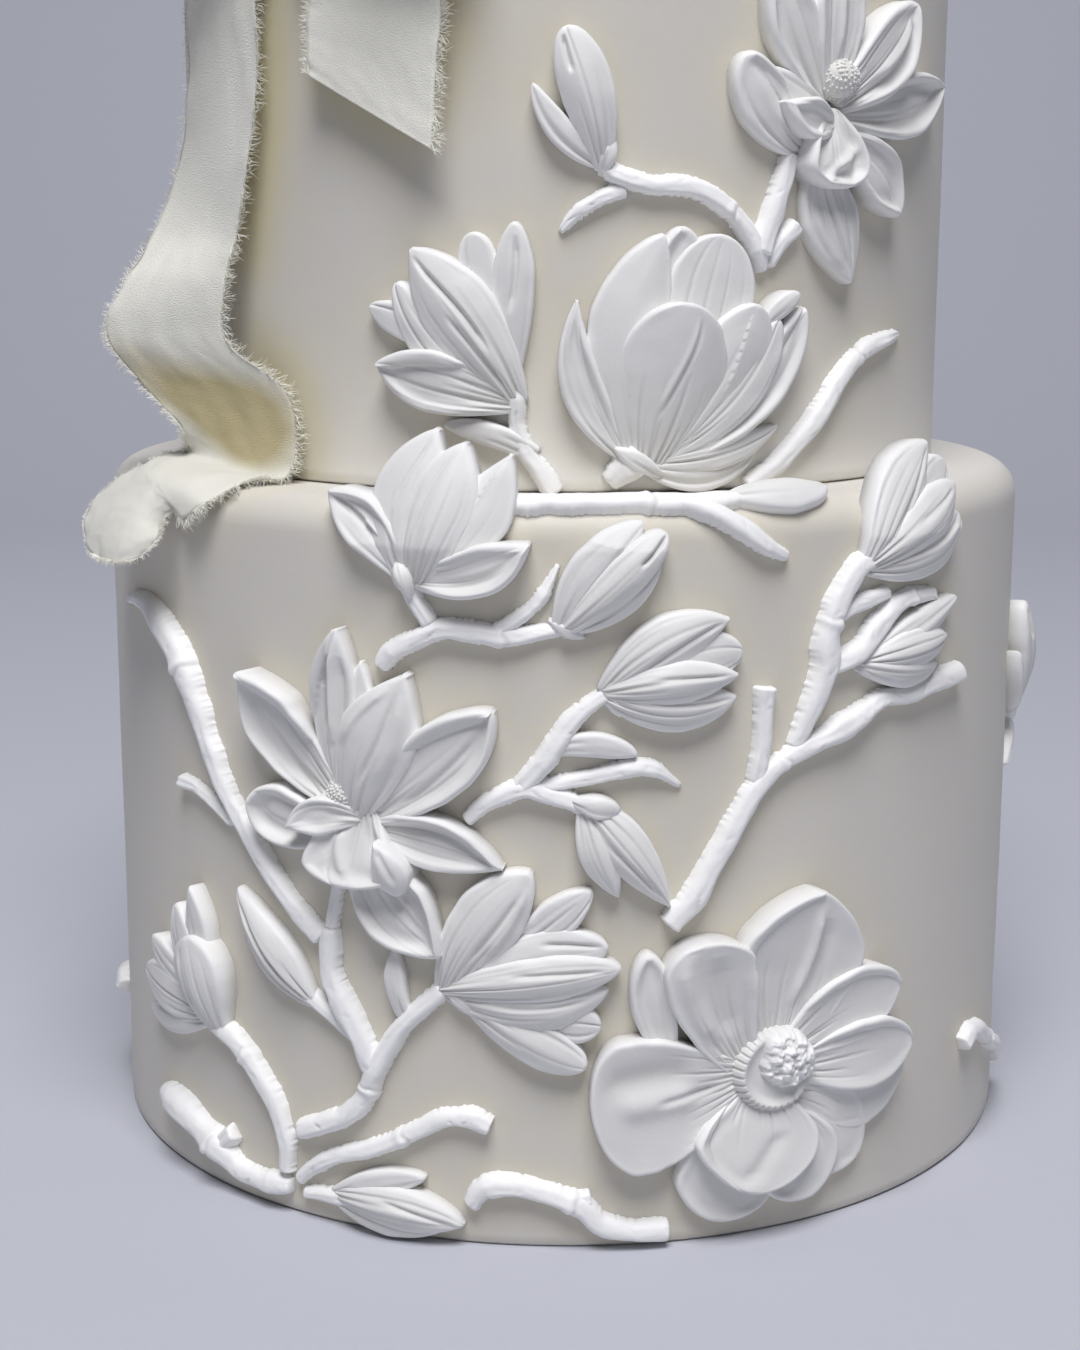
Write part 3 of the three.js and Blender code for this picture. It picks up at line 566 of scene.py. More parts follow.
def ridge(start, end, width, rise, bend=0.0):
    """A soft ridge, or a groove where rise is below zero, between two (t, u) spots on a petal."""
    return ("ridge", start, end, width, rise, bend)


def step(start, end, width, rise, bend=0.0):
    """A sharp edge between two (t, u) spots that dies away to one side, the other if width is negative."""
    return ("step", start, end, width, rise, bend)


def twig(points, thick, lift=0.62):
    return dict(kind="twig", points=points, thick=thick, lift=lift)


def dome(centre, radius, height):
    return dict(kind="dome", centre=centre, radius=radius, height=height)


def boss(centre, radius, height):
    return dict(kind="boss", centre=centre, radius=radius, height=height)


def blade_swell(t, belly, neck, point):
    """A petal's width at t, from foot to tip, as a share of its widest."""
    if t < belly:
        return neck + (1 - neck) * math.sin(math.pi / 2 * t / belly)
    past = (t - belly) / (1 - belly)
    return mix(math.sqrt(max(0.0, 1 - past * past)), 1 - past ** 1.6, point)


def blade_half(look, t):
    return look["wide"] / 2 * max(BLUNT_TIP, blade_swell(t, look["belly"], look["neck"], look["point"]))


def vein_depth(look, t, u, half, seed):
    """Fine uneven grooves that fan out from the foot and die away up the petal."""
    if t > 1.2 * look["reach"]:
        return 0.0
    depth = 0.0
    count = look["veins"]
    for k in range(count):
        centre = -0.9 + 1.8 * (k + 0.5) / count + 0.6 / count * math.sin(seed + 2.3 * k)
        reach = look["reach"] * (0.75 + 0.45 * math.sin(1.7 * seed + 4.1 * k))
        if t >= reach:
            continue
        away = (u - centre) * half / (0.34 + 0.14 * math.sin(seed + 5.7 * k))
        if abs(away) < 3:
            strength = 0.62 + 0.38 * math.sin(3.1 * k + seed)
            depth += strength * math.exp(-away * away) * (1 - t / reach) ** 0.6
    return look["vein"] * depth


def mark_height(marks, t, u, half, length):
    """What the ridges, grooves and steps add to a petal's height at (t, u)."""
    height = 0.0
    for kind, start, end, width, rise, bend in marks:
        lengthwise = abs(end[0] - start[0]) * length >= abs(end[1] - start[1]) * half
        if lengthwise:
            part = (t - start[0]) / (end[0] - start[0])
            away = (u - mix(start[1], end[1], part) - 4 * bend * part * (1 - part)) * half / width
        else:
            part = (u - start[1]) / (end[1] - start[1])
            away = (t - mix(start[0], end[0], part) - 4 * bend * part * (1 - part)) * length / width
        if not 0 < part < 1:
            continue
        fade = min(1.0, 5 * part, 5 * (1 - part))
        if kind == "ridge":
            height += rise * fade * math.exp(-away * away)
        elif away > 0:
            height += rise * fade * math.exp(-away)
    return height


def blade_height(look, t, u, half, length, border, seed):
    """A petal's height over the wall at (t, u), where border is the distance in from its outline."""
    low, middle, high = look["lift"]
    fade = 4 * t * (1 - t)
    height = low * (1 - t) * (1 - 2 * t) + middle * fade + high * t * (2 * t - 1)
    height += look["cup"] * u * u * fade
    height += look["roof"] * (1 - min(1.0, KEEL_SLOPE * math.sqrt(u * u + KEEL_ROUNDING))) * fade
    rise = mix(look["lip"][0], look["lip"][1], 0.5 + 0.5 * max(-1.0, min(1.0, 2.5 * u)))
    if rise:
        strength = min(1.0, 3 * t)
        height += rise * strength * hump(border, LIP_IN, LIP_WIDTH)
        height -= HOLLOW_SHARE * rise * strength * hump(border, HOLLOW_IN, HOLLOW_WIDTH)
    if look["fold"]:
        which, start, end, width, up = look["fold"]
        inside = u if which == "right" else -u
        side = half * (1 - abs(u))
        if inside > 0 and start < t < end:
            along = math.sin(math.pi * (t - start) / (end - start)) ** 0.5
            reach = width * along
            if side < reach:
                height += up * along * math.sqrt(max(0.0, 1 - (side / reach - FOLD_CREST) ** 2 / FOLD_FALL))
    ripple = noise.noise(Vector((0.16 * t * length, 1.7 * u, seed)))
    height += PETAL_WAVE * ripple * (0.4 + u * u) * min(1.0, 2 * t)
    return height


def shape_blade(mesh_data, look, seed):
    """Draws one petal as a fine net over its outline, with its edges rounded, in wall coordinates."""
    foot = Vector(look["foot"])
    tip = Vector(look["tip"])
    span = tip - foot
    length = span.length + TUCK
    start = tip - span.normalized() * length
    right = Vector((span.y, -span.x)).normalized()
    middle = (start + tip) / 2 + right * 2 * look["bow"]
    detail = bpy.context.scene.cake_sizes.petal_detail
    across = max(14, min(84, int(look["wide"] * detail)))
    along = max(20, min(100, int(length * 0.75 * detail)))
    edge = bpy.context.scene.cake_sizes.petal_edge / MM
    powder = mesh_data.verts.layers.float["powder"]
    made = bmesh.ops.create_grid(mesh_data, x_segments=across, y_segments=along, size=0.5)["verts"]
    for vert in made:
        column = round((vert.co.x + 0.5) * across)
        row = round((vert.co.y + 0.5) * along)
        t = row_place(row, along, edge, length)
        half = blade_half(look, t)
        round_off = min(edge, 0.5 * half)
        u = column_place(column, across, half, round_off)
        here = (1 - t) ** 2 * start + 2 * t * (1 - t) * middle + t * t * tip
        way = (2 * (1 - t) * (middle - start) + 2 * t * (tip - middle)).normalized()
        widening = blade_half(look, min(1.0, t + 0.01)) - blade_half(look, max(0.0, t - 0.01))
        slope = widening / (0.02 * length)
        border = min(half * (1 - abs(u)) / math.sqrt(1 + slope * slope), (1 - t) * length)
        mark = mark_height(look["marks"], t, u, half, length)
        vein = vein_depth(look, t, u, half, seed)
        height = blade_height(look, t, u, half, length, border, seed) + mark - vein
        height -= quarter_round(border, edge)
        # Painted shade in the veins and grooves, painted highlight along the rounded edges
        groove = min(1.0, vein + 0.3 * max(0.0, -mark))
        vert[powder] = 0.5 - 0.4 * groove + 0.3 * hump(border, 0, PAINTED_EDGE_HIGHLIGHT)
        uneven = RAGGED * noise.noise(Vector((0.22 * t * length, 5 if u > 0 else -5, seed)))
        aside = u * half * (1 + uneven * abs(u))
        vert.co = (here.x + way.y * aside, here.y - way.x * aside, max(LOWEST_FACE, height))
    close_relief(mesh_data, made)


def row_place(row, rows, edge, length):
    """Rows crowd towards the tip, and the last few follow its rounded end."""
    last = rows - row
    if last < ROUNDED:
        return 1 - edge * (1 - math.cos(last / ROUNDED * math.pi / 2)) / length
    share = row / (rows - ROUNDED)
    top = 1 - edge / length
    return top * (1 - (1 - share) ** TIP_CROWDING)


def column_place(column, columns, half, edge):
    """Columns are even between the rounded edges, which take three on each side."""
    for place, sign in ((column, -1), (columns - column, 1)):
        if place < ROUNDED:
            return sign * (1 - edge * (1 - math.cos(place / ROUNDED * math.pi / 2)) / half)
    inner = 1 - edge / half
    return inner * (2 * (column - ROUNDED) / (columns - 2 * ROUNDED) - 1)


def close_relief(mesh_data, verts):
    """Drops a wall from the net's border into the icing and closes it underneath."""
    own = set(verts)
    border = [edge for edge in mesh_data.edges if edge.is_boundary and edge.verts[0] in own]
    made = bmesh.ops.extrude_edge_only(mesh_data, edges=border)["geom"]
    lowered = [item for item in made if isinstance(item, bmesh.types.BMVert)]
    for vert in lowered:
        vert.co.z = ROOT_DEPTH
    low = set(lowered)
    rim = [item for item in made if isinstance(item, bmesh.types.BMEdge)
           and item.verts[0] in low and item.verts[1] in low]
    bmesh.ops.holes_fill(mesh_data, edges=rim, sides=0)


def spline_place(points, t):
    """A point and its direction on a smooth curve through the points."""
    reach = t * (len(points) - 1)
    low = min(len(points) - 2, int(reach))
    part = reach - low
    a = points[max(0, low - 1)]
    b, c = points[low], points[low + 1]
    d = points[min(len(points) - 1, low + 2)]
    place = 0.5 * (2 * b + (c - a) * part + (2 * a - 5 * b + 4 * c - d) * part ** 2
                   + (3 * b - a - 3 * c + d) * part ** 3)
    way = 0.5 * ((c - a) + 2 * (2 * a - 5 * b + 4 * c - d) * part + 3 * (3 * b - a - 3 * c + d) * part ** 2)
    return place, way


def list_at(values, t):
    """The value at t, from 0 to 1, along evenly spaced values."""
    reach = t * (len(values) - 1)
    low = min(len(values) - 2, int(reach))
    return mix(values[low], values[low + 1], reach - low)


def shape_twig(mesh_data, look, seed):
    """A moulded twig with bark: ragged edges, slanting scratches, a few joints and cut ends."""
    points = [Vector(point) for point in look["points"]]
    length = sum((b - a).length for a, b in zip(points, points[1:]))
    along = max(24, int(length * TWIG_CELLS))
    draw = random.Random(seed)
    nicks = []
    # each nick: place along, side, where it starts and ends across, depth, width and slant
    rough = draw.choice((-1, 1))
    for side in (-1, 1):
        reach = draw.uniform(*FIRST_NICK)
        while reach < length:
            nicks.append((reach, side, draw.uniform(*NICK_START), PAST_EDGE, draw.uniform(*NICK_DEPTH),
                          draw.uniform(*NICK_WIDTH), draw.uniform(-NICK_SLANT, NICK_SLANT)))
            reach += draw.choice([draw.uniform(*gap) for gap in NICK_GAPS])
        reach = draw.uniform(*FIRST_NICK)
        while reach < length and side == rough:
            nicks.append((reach, side, ROUGH_START, PAST_EDGE, draw.uniform(*ROUGH_DEPTH),
                          draw.uniform(*ROUGH_WIDTH), 0.0))
            reach += draw.choice([draw.uniform(*gap) for gap in ROUGH_GAPS])
    reach = draw.uniform(*FIRST_SCRATCH)
    while reach < length:
        inner = draw.uniform(*SCRATCH_START)
        nicks.append((reach, draw.choice((-1, 1)), inner, inner + draw.uniform(*SCRATCH_REACH),
                      draw.uniform(*SCRATCH_DEPTH), SCRATCH_WIDTH,
                      draw.choice((-1, 1)) * draw.uniform(*SCRATCH_SLANT)))
        reach += draw.uniform(*SCRATCH_GAP)
    joints = []
    reach = draw.uniform(*FIRST_JOINT)
    while reach < length - JOINT_FROM_END:
        joints.append(reach)
        reach += draw.uniform(*NEXT_JOINT)
    powder = mesh_data.verts.layers.float["powder"]
    made = bmesh.ops.create_grid(mesh_data, x_segments=TWIG_COLUMNS, y_segments=along, size=0.5)["verts"]
    for vert in made:
        turn = (vert.co.x + 0.5) * math.pi
        u = -math.cos(turn)
        t = vert.co.y + 0.5
        here, way = spline_place(points, t)
        way = way.normalized()
        wide = list_at(look["thick"], t)
        place = t * length
        end = min(place, length - place)
        blunt = 0.68 + 0.32 * math.sqrt(max(0.0, 1 - (1 - min(1.0, end / CUT_END)) ** 2))
        nick = 0.0
        for centre, side, inner, outer, deep, sharp, slant in nicks:
            across_it = u * side
            if abs(place - centre) < NICK_REACH and inner < across_it < outer:
                gap = (place - centre - slant * (across_it - inner)) / sharp
                fade = min(1.0, (across_it - inner) / 0.2, (outer - across_it) / 0.2)
                nick += deep * fade * math.exp(-gap * gap)
        swell = 0.0
        for joint in joints:
            if abs(place - joint) < JOINT_REACH:
                swell += JOINT_SWELL * hump(place - joint, JOINT_SWELL_AT, JOINT_SWELL_WIDTH)
                nick += JOINT_GROOVE * hump(place - joint, 0.5 * math.sin(4 * u), JOINT_GROOVE_WIDTH)
        lean = 1 + TWIG_LEAN * way.x * u
        arch = math.sqrt(max(0.0, 1 - abs(u) ** 3))
        height = wide * look["lift"] * 1.1 * arch * blunt * (1 + swell) * lean
        height += TWIG_WAVE * noise.noise(Vector((0.1 * place, 1.8 * u, seed + 7)))
        height += TWIG_GRAIN * noise.noise(Vector((0.5 * place, 4 * u, seed + 3)))
        height -= min(nick, DEEPEST_NICK)
        # Twigs painted whiter as a highlight, with painted shade in their nicks
        vert[powder] = 1.0 - 0.7 * min(1.0, nick)
        edge = 4 if u > 0 else -4
        coarse = noise.noise(Vector((0.16 * place, edge, seed)))
        fine = noise.noise(Vector((1.3 * place, edge, seed + 1)))
        half = wide / 2 * (0.98 + 0.24 * coarse + swell) * blunt
        aside = u * half + math.copysign(abs(u) ** 8, u) * (0.5 * fine - 0.6 * min(nick, 1.0))
        vert.co = (here.x + way.y * aside, here.y - way.x * aside, max(TWIG_LOWEST, height))
    close_relief(mesh_data, made)


def shape_dome(mesh_data, look, seed):
    """The boss of stamens: a low dome covered with grains, laid out on a golden spiral, with painted shade
    between the grains.
    """
    centre = Vector((*look["centre"], 0))
    radius, height = look["radius"], look["height"]
    base = bmesh.ops.create_uvsphere(mesh_data, u_segments=32, v_segments=20, radius=1)["verts"]
    powder = mesh_data.verts.layers.float["powder"]
    for vert in base:
        vert.co = centre + Vector((vert.co.x * radius, vert.co.y * radius, max(-0.1, vert.co.z) * height))
        vert[powder] = 0.2
    for k in range(GRAINS):
        rise = 1 - 0.93 * (k + 0.5) / GRAINS
        flat = math.sqrt(1 - rise * rise)
        angle = k * GOLDEN_ANGLE + 0.2 * math.sin(seed + k)
        spot = Vector((flat * math.cos(angle) * radius, flat * math.sin(angle) * radius, rise * height))
        size = GRAIN_SIZE * (0.85 + 0.3 * math.sin(3.1 * k + seed) ** 2)
        ball = bmesh.ops.create_icosphere(
            mesh_data, subdivisions=1, radius=size, matrix=Matrix.Translation(centre + spot)
        )
        for vert in ball["verts"]:
            vert[powder] = 0.6


def shape_boss(mesh_data, look, seed):
    """The open flower's middle: a rough torn mound to one side of a bowl, whose collar is nicked outside,
    with painted shade in the notches and a painted highlight on the mound, paler where the mound stands
    higher.
    """
    centre = Vector((*look["centre"], 0))
    radius, height = look["radius"], look["height"]
    powder = mesh_data.verts.layers.float["powder"]
    made = bmesh.ops.create_grid(
        mesh_data, x_segments=BOSS_CELLS, y_segments=BOSS_CELLS, size=1
    )["verts"]
    for vert in made:
        x, y = vert.co.x, vert.co.y
        reach = max(abs(x), abs(y))
        length = math.hypot(x, y)
        if length > 0:
            x, y = x / length * reach, y / length * reach
        angle = math.atan2(y, x)
        facing = 0.5 - 0.5 * math.cos(angle - math.radians(45))
        collar = hump(reach, COLLAR_AT, COLLAR_WIDTH) * min(1.0, 1.7 * facing)
        outside = min(1.0, max(0.0, (reach - 0.74) / 0.1), max(0.0, (1 - reach) / 0.08))
        teeth = max(0.0, math.sin(COLLAR_NICKS * angle + 1.2 * math.sin(3 * angle)))
        notch = teeth ** 2 * outside * min(1.0, 1.6 * facing)
        off = math.hypot(x - MOUND_AT[0], y - MOUND_AT[1]) / MOUND_SIZE
        off += 0.12 * noise.noise(Vector((2.2 * math.cos(angle), 2.2 * math.sin(angle), seed + 5)))
        mound = max(0.0, 1 - off * off)
        spot = Vector((x, y, 0.1 * seed))
        torn = noise.noise(spot * 5) + 0.6 * noise.noise(spot * 11) + 0.25 * noise.noise(spot * 21)
        z = height * (0.5 + 0.5 * mound ** 0.6) + COLLAR_RISE * collar - NOTCH_DEPTH * notch
        z += TORN_RISE * torn * min(1.0, 2.5 * mound)
        vert[powder] = 0.5 - 0.5 * notch + min(0.5, 2 * mound) * (0.75 + torn)
        z -= quarter_round((1 - reach) * radius, BOSS_ROUNDING) * 1.5
        vert.co = centre + Vector((x * radius, y * radius, max(0.3, z)))
    close_relief(mesh_data, made)


def lay_spray(name, looks, lay, turn=0.0, rise=0.0, mirror=False):
    """Shapes each piece of a spray flat, lays it on its tier and joins them in one object."""
    mesh_data = bmesh.new()
    mesh_data.verts.layers.float.new("powder")
    shapers = {"blade": shape_blade, "twig": shape_twig, "dome": shape_dome, "boss": shape_boss}
    for k, look in enumerate(looks):
        shapers[look["kind"]](mesh_data, look, 3 * k + 1)
    for vert in mesh_data.verts:
        spot = lay(vert.co.x, vert.co.y + rise, vert.co.z)
        vert.co = (-spot.x if mirror else spot.x, spot.y, spot.z)
    bmesh.ops.rotate(mesh_data, verts=mesh_data.verts, cent=(0, 0, 0),
                     matrix=Matrix.Rotation(math.radians(turn), 3, "Z"))
    bmesh.ops.recalc_face_normals(mesh_data, faces=mesh_data.faces)
    for face in mesh_data.faces:
        face.smooth = len(face.verts) < 5
    return finish_piece(name + "_relief", mesh_data, material_of("sugar"), [name])


# Sprays on the lower tier

LEFT_BRANCH = [
    twig([(-141, 154), (-131, 155), (-121.5, 152.5), (-112, 146), (-105, 137), (-101, 129), (-97, 120),
          (-91.5, 110.5), (-84, 101.5), (-76, 91.5), (-68, 83), (-61, 77)],
         [3.6, 5, 7.2, 7.6, 6.6, 5.8, 5.6, 5.6, 5.4, 5.2]),
    twig([(-112, 109.5), (-104.5, 109), (-96.5, 106), (-90, 102.5)], [4.2, 3.4, 3.6]),
]

OPEN_MAGNOLIA = [
    blade((-56, 114), (-80.5, 144), 17, belly=0.66, bow=-1.5, cup=2.0, lift=(3, 3.2, 7), point=0.8,
          lip=(1.3, 0.2), fold=("right", 0.4, 1.3, 4.8, 2.6), reach=0.7, vein=0.8,
          marks=(ridge((0.1, -0.35), (0.75, -0.2), 1.2, -0.8),)),
    blade((-51, 118), (-48.5, 149), 10, lift=(2, 3, 3), point=0.8),
    blade((-55, 117), (-53.5, 157), 12, belly=0.64, bow=-1.5, lift=(3, 4.2, 6), cup=-0.5, point=0.8,
          fold=("left", 0.45, 1.2, 3.4, 1.8),
          marks=(ridge((0.3, 0.15), (0.97, -0.05), 1.0, 1.6), ridge((0.3, 0.55), (0.85, 0.45), 0.9, -1.2),
                 step((0.35, -0.25), (0.8, -0.35), 1.5, -1.2))),
    blade((-46, 111), (-15.5, 139), 18, belly=0.62, bow=1, lift=(3, 5, 5), cup=1.2, point=0.5,
          fold=("left", 0.4, 1.25, 4.4, 1.8), lip=(0.3, 1.5),
          marks=(ridge((0.25, 0.35), (0.85, 0.25), 0.8, -0.8),)),
    blade((-50, 111), (-36, 147), 20, belly=0.58, bow=-1, lift=(4, 8, 6), cup=-2, point=0.9, vein=0.9,
          reach=0.5,
          marks=(ridge((0.25, 0.0), (0.9, 0.12), 0.8, -0.7, 0.1),
                 ridge((0.45, -0.75), (0.9, -0.5), 1.1, 0.9), ridge((0.3, 0.5), (0.9, 0.5), 1.5, 0.6))),
    blade((-56, 107), (-79, 113), 15, belly=0.68, bow=-3, lift=(2, 3, 6), cup=1.8, point=0.0,
          lip=(1.8, 0.9), reach=0.85),
    blade((-45, 107), (-13, 100), 13.5, belly=0.5, bow=-2, lift=(3, 4.2, 5), cup=2, point=0.8,
          lip=(2.0, 0.5), reach=0.85, vein=0.8),
    blade((-49, 102), (-28, 77), 19, belly=0.55, bow=1.5, lift=(3, 3.8, 5.5), cup=2, point=0.75,
          lip=(2.2, 1.0), reach=0.8, vein=0.9, marks=(ridge((0.2, -0.2), (0.9, -0.1), 0.9, -0.8),)),
    blade((-48, 111), (-50.5, 93.5), 24, belly=0.78, bow=0.5, lift=(4, 6, 10), cup=1.2, point=0.2,
          lip=(0.8, 0.5), veins=10, vein=0.9, reach=0.9,
          marks=(ridge((0.3, 0.5), (0.9, 0.0), 1.6, 1.2),)),
    blade((-50, 109.5), (-66.5, 106.5), 9.5, belly=0.55, bow=2.2, lift=(5, 7, 9.5), cup=1.2, point=1.0,
          lip=(0.8, 0.4), veins=5, vein=0.9, reach=1.0),
    blade((-38.5, 94.5), (-43, 106), 9, belly=0.35, bow=0.8, lift=(8, 10.5, 9.5), cup=-1, point=0.9,
          veins=2, vein=0.4, reach=0.6, marks=(ridge((0.2, 0.2), (0.9, 0.0), 0.8, -0.8),)),
    dome((-53.5, 115.5), 4.8, 6.5),
    twig([(-55, 97), (-57, 88), (-58.5, 80)], [3.6, 3.6, 4]),
]

RIM_MAGNOLIA = [
    blade((-37, 170), (-57.5, 190), 12, belly=0.62, bow=2.5, lift=(3, 4.6, 5), cup=0.8, point=0.6,
          lip=(0.4, 1.6),
          marks=(ridge((0.1, -0.1), (0.95, 0.0), 0.8, -1.0), step((0.2, 0.1), (0.9, 0.15), 2.0, 0.8))),
    blade((-35, 170), (-31, 205), 19, belly=0.6, bow=-3.5, lift=(3, 6, 4), cup=-1.5, point=0.75,
          marks=(ridge((0.5, -0.3), (0.95, 0.1), 0.6, -0.5),)),
    blade((-33, 170), (-12, 199.5), 15, belly=0.6, bow=2.5, lift=(3, 5, 4), cup=-1, point=0.9,
          marks=(step((0.45, -0.2), (0.95, -0.5), 1.5, 0.8),)),
    blade((-34, 170), (-23.5, 202), 17, belly=0.62, lift=(4, 8, 5), cup=-2, point=0.6, veins=13, vein=1.0,
          reach=0.66, marks=(ridge((0.35, -0.45), (0.95, -0.35), 0.5, -0.5),)),
    blade((-34, 171), (-7, 179.5), 12, belly=0.62, bow=3, lift=(3, 6, 7), cup=1.5, point=0.8,
          lip=(0.3, 1.8), reach=0.85),
    blade((-37.5, 172.5), (-34.8, 165.5), 5, belly=0.4, lift=(5, 6.6, 4), cup=-1, point=0.6, veins=3,
          reach=1.1),
    twig([(-36.5, 170), (-35, 165), (-31, 159)], [5, 4.6, 4.6]),
    twig([(-43.6, 147.8), (-40.5, 152), (-35, 155), (-28, 158), (-20, 157.5), (-13, 156.5), (-6, 157.5),
          (1, 159)], [4.4, 5.8, 5.4, 5.6, 5.8, 5.2, 4.4, 3.4]),
    twig([(-16, 157.5), (-8, 162.5), (-4, 167), (-0.5, 174)], [4, 4, 3.6, 1.2]),
    blade((1, 159), (19.5, 184), 12.5, belly=0.52, bow=-2.4, lift=(3, 5.5, 3.5), cup=-1.5, point=0.5,
          veins=7, vein=0.7, reach=1.0, marks=(step((0.66, -1.2), (0.8, 0.3), -2.4, 1.0),)),
    blade((2, 159.5), (23, 176.5), 9, belly=0.6, bow=2.2, lift=(3, 5.5, 4), cup=-1, point=0.4, veins=5,
          vein=0.8, reach=1.1),
    blade((1.5, 159), (24.5, 182), 9.5, belly=0.62, bow=0.3, lift=(3.5, 8, 5.5), cup=-1.5, point=0.1,
          veins=6, vein=0.8, reach=1.1, marks=(ridge((0.7, 0.1), (0.98, 0.2), 0.5, -1.4),)),
    blade((-1, 160), (6, 156.5), 3.6, lift=(2, 3.8, 2.5), point=0.9),
]

MID_SPRAY = [
    twig([(-22.5, 111), (-16, 116.5), (-9, 119.5), (-3, 118.5), (3, 116.5), (7, 114)],
         [4, 5, 5.6, 5, 4.6]),
    twig([(-10, 119), (-4, 126), (0, 132), (5, 138.5), (12.5, 144)], [4.6, 6.4, 6.2, 5, 4]),
    blade((-2, 129), (18.5, 128), 6, bow=-2.2, lift=(2, 3.8, 3.2), neck=0.6, point=0.1, veins=2,
          reach=1.0),
    twig([(-7, 119.5), (0, 121), (8, 122.5), (16, 124.5), (23, 124), (29.5, 119.5)],
         [3.4, 4.2, 4, 5, 4.4, 1.4]),
    blade((12, 143.5), (44, 152.5), 14, belly=0.65, bow=-2, lift=(2.5, 4.2, 3.4), cup=-1, point=0.1,
          veins=5, vein=1.0, reach=1.15),
    blade((12, 144), (40.5, 160.5), 13.5, belly=0.55, bow=-3, lift=(3, 6, 3.5), cup=-1.5, point=0.75,
          veins=9, vein=0.8, reach=0.8, marks=(ridge((0.3, 0.3), (0.97, 0.1), 0.6, -0.9),)),
    blade((12, 143), (42.5, 141.5), 12.5, belly=0.55, bow=2.6, lift=(3, 5.5, 3.5), cup=-1.5, point=0.6,
          veins=8, vein=0.9, reach=0.9, marks=(ridge((0.3, -0.2), (0.97, -0.1), 0.6, -0.9),)),
    blade((12, 143.5), (42.5, 147), 10.5, bow=-0.8, lift=(3.5, 7.5, 4.5), cup=-1.5, point=0.7, veins=7,
          vein=0.9, reach=0.8, marks=(ridge((0.35, -0.35), (0.9, -0.1), 0.5, -0.7),)),
    blade((12, 143.5), (17.5, 137), 3.6, lift=(2, 3.6, 2), point=0.9),
    blade((11.5, 142.5), (14.5, 137), 3, lift=(2, 3, 2), point=0.9),
    blade((7, 115.5), (27, 89.5), 12, belly=0.42, bow=-0.6, lift=(3, 6.5, 3), cup=-2, point=0.8, veins=7,
          vein=0.9, reach=1.15, marks=(ridge((0.3, 0.4), (0.9, 0.2), 0.6, -0.9),)),
    blade((6.5, 114), (14.5, 92.5), 9, belly=0.5, bow=1, lift=(3, 6, 3.4), cup=-1, point=0.8, veins=5,
          vein=0.9, reach=1.15),
    blade((5, 116.5), (14.5, 114.5), 5.4, lift=(3.5, 6, 4), point=0.2, veins=3, reach=0.9),
]

RIGHT_BRANCH = [
    twig([(27, 84.5), (33.5, 92.5), (40, 104), (46, 114), (52, 121.5), (60, 126), (70, 129.5),
          (79, 133.5), (86, 136.5), (95, 136.5), (105, 138), (119, 139)],
         [6.2, 6.8, 6.2, 6, 5.6, 5.2, 5.6, 6.8, 5.8, 5, 5.8, 6, 5.6]),
    twig([(48.5, 119), (49.5, 124), (50.3, 131), (50.5, 138), (51, 143)], [4.4, 5.2, 5, 5.2, 5.8]),
    twig([(59, 127), (63, 136), (67, 146), (67.5, 155), (71, 163.5), (76, 170.5), (81, 172)],
         [4, 6, 7.4, 7, 6.4, 6, 5]),
    twig([(67, 156), (73, 160), (80, 162), (87.5, 163.5)], [3.4, 4.4, 4.6, 3.4]),
    twig([(68, 146), (77, 149.5), (84, 155.5), (90, 160), (97, 161.5), (105, 161)],
         [5, 6.4, 5.8, 5.4, 4.8, 4]),
    blade((83, 173), (112, 194.5), 12, belly=0.7, bow=-1, lift=(3, 5, 4), point=0.2, veins=4, reach=1.1),
    blade((80.5, 171.5), (106, 199.5), 15, belly=0.55, bow=-3.6, lift=(3, 6.5, 4), cup=-1.5, point=0.8,
          veins=9, vein=0.9, reach=0.85, marks=(ridge((0.25, 0.35), (0.95, 0.1), 0.6, -0.9),)),
    blade((81, 171), (113, 181.5), 14, belly=0.6, bow=3, lift=(3, 6, 4), cup=-1.5, point=0.5, veins=8,
          vein=0.9, reach=0.9, marks=(ridge((0.3, -0.2), (0.95, -0.1), 0.6, -0.8),)),
    blade((81, 171.5), (112.5, 189), 12, belly=0.6, bow=-1, lift=(3.5, 8, 5), cup=-1.5, point=0.6,
          veins=7, vein=0.9, reach=0.8, marks=(ridge((0.4, -0.3), (0.92, -0.1), 0.5, -0.7),)),
    blade((80, 147), (112, 160), 9, belly=0.45, bow=0.5, lift=(3, 5, 4), cup=-1, point=0.5, veins=4,
          vein=0.9, reach=1.15),
    blade((81, 147), (108, 150.5), 10.5, belly=0.5, lift=(3, 7, 4), cup=-1.5, point=0.5, veins=6,
          vein=0.9, reach=1.1),
    blade((79, 146), (105, 143.5), 9.5, belly=0.55, bow=1.2, lift=(3, 6, 3.5), cup=-1.5, point=0.5,
          veins=5, vein=0.9, reach=1.1),
]

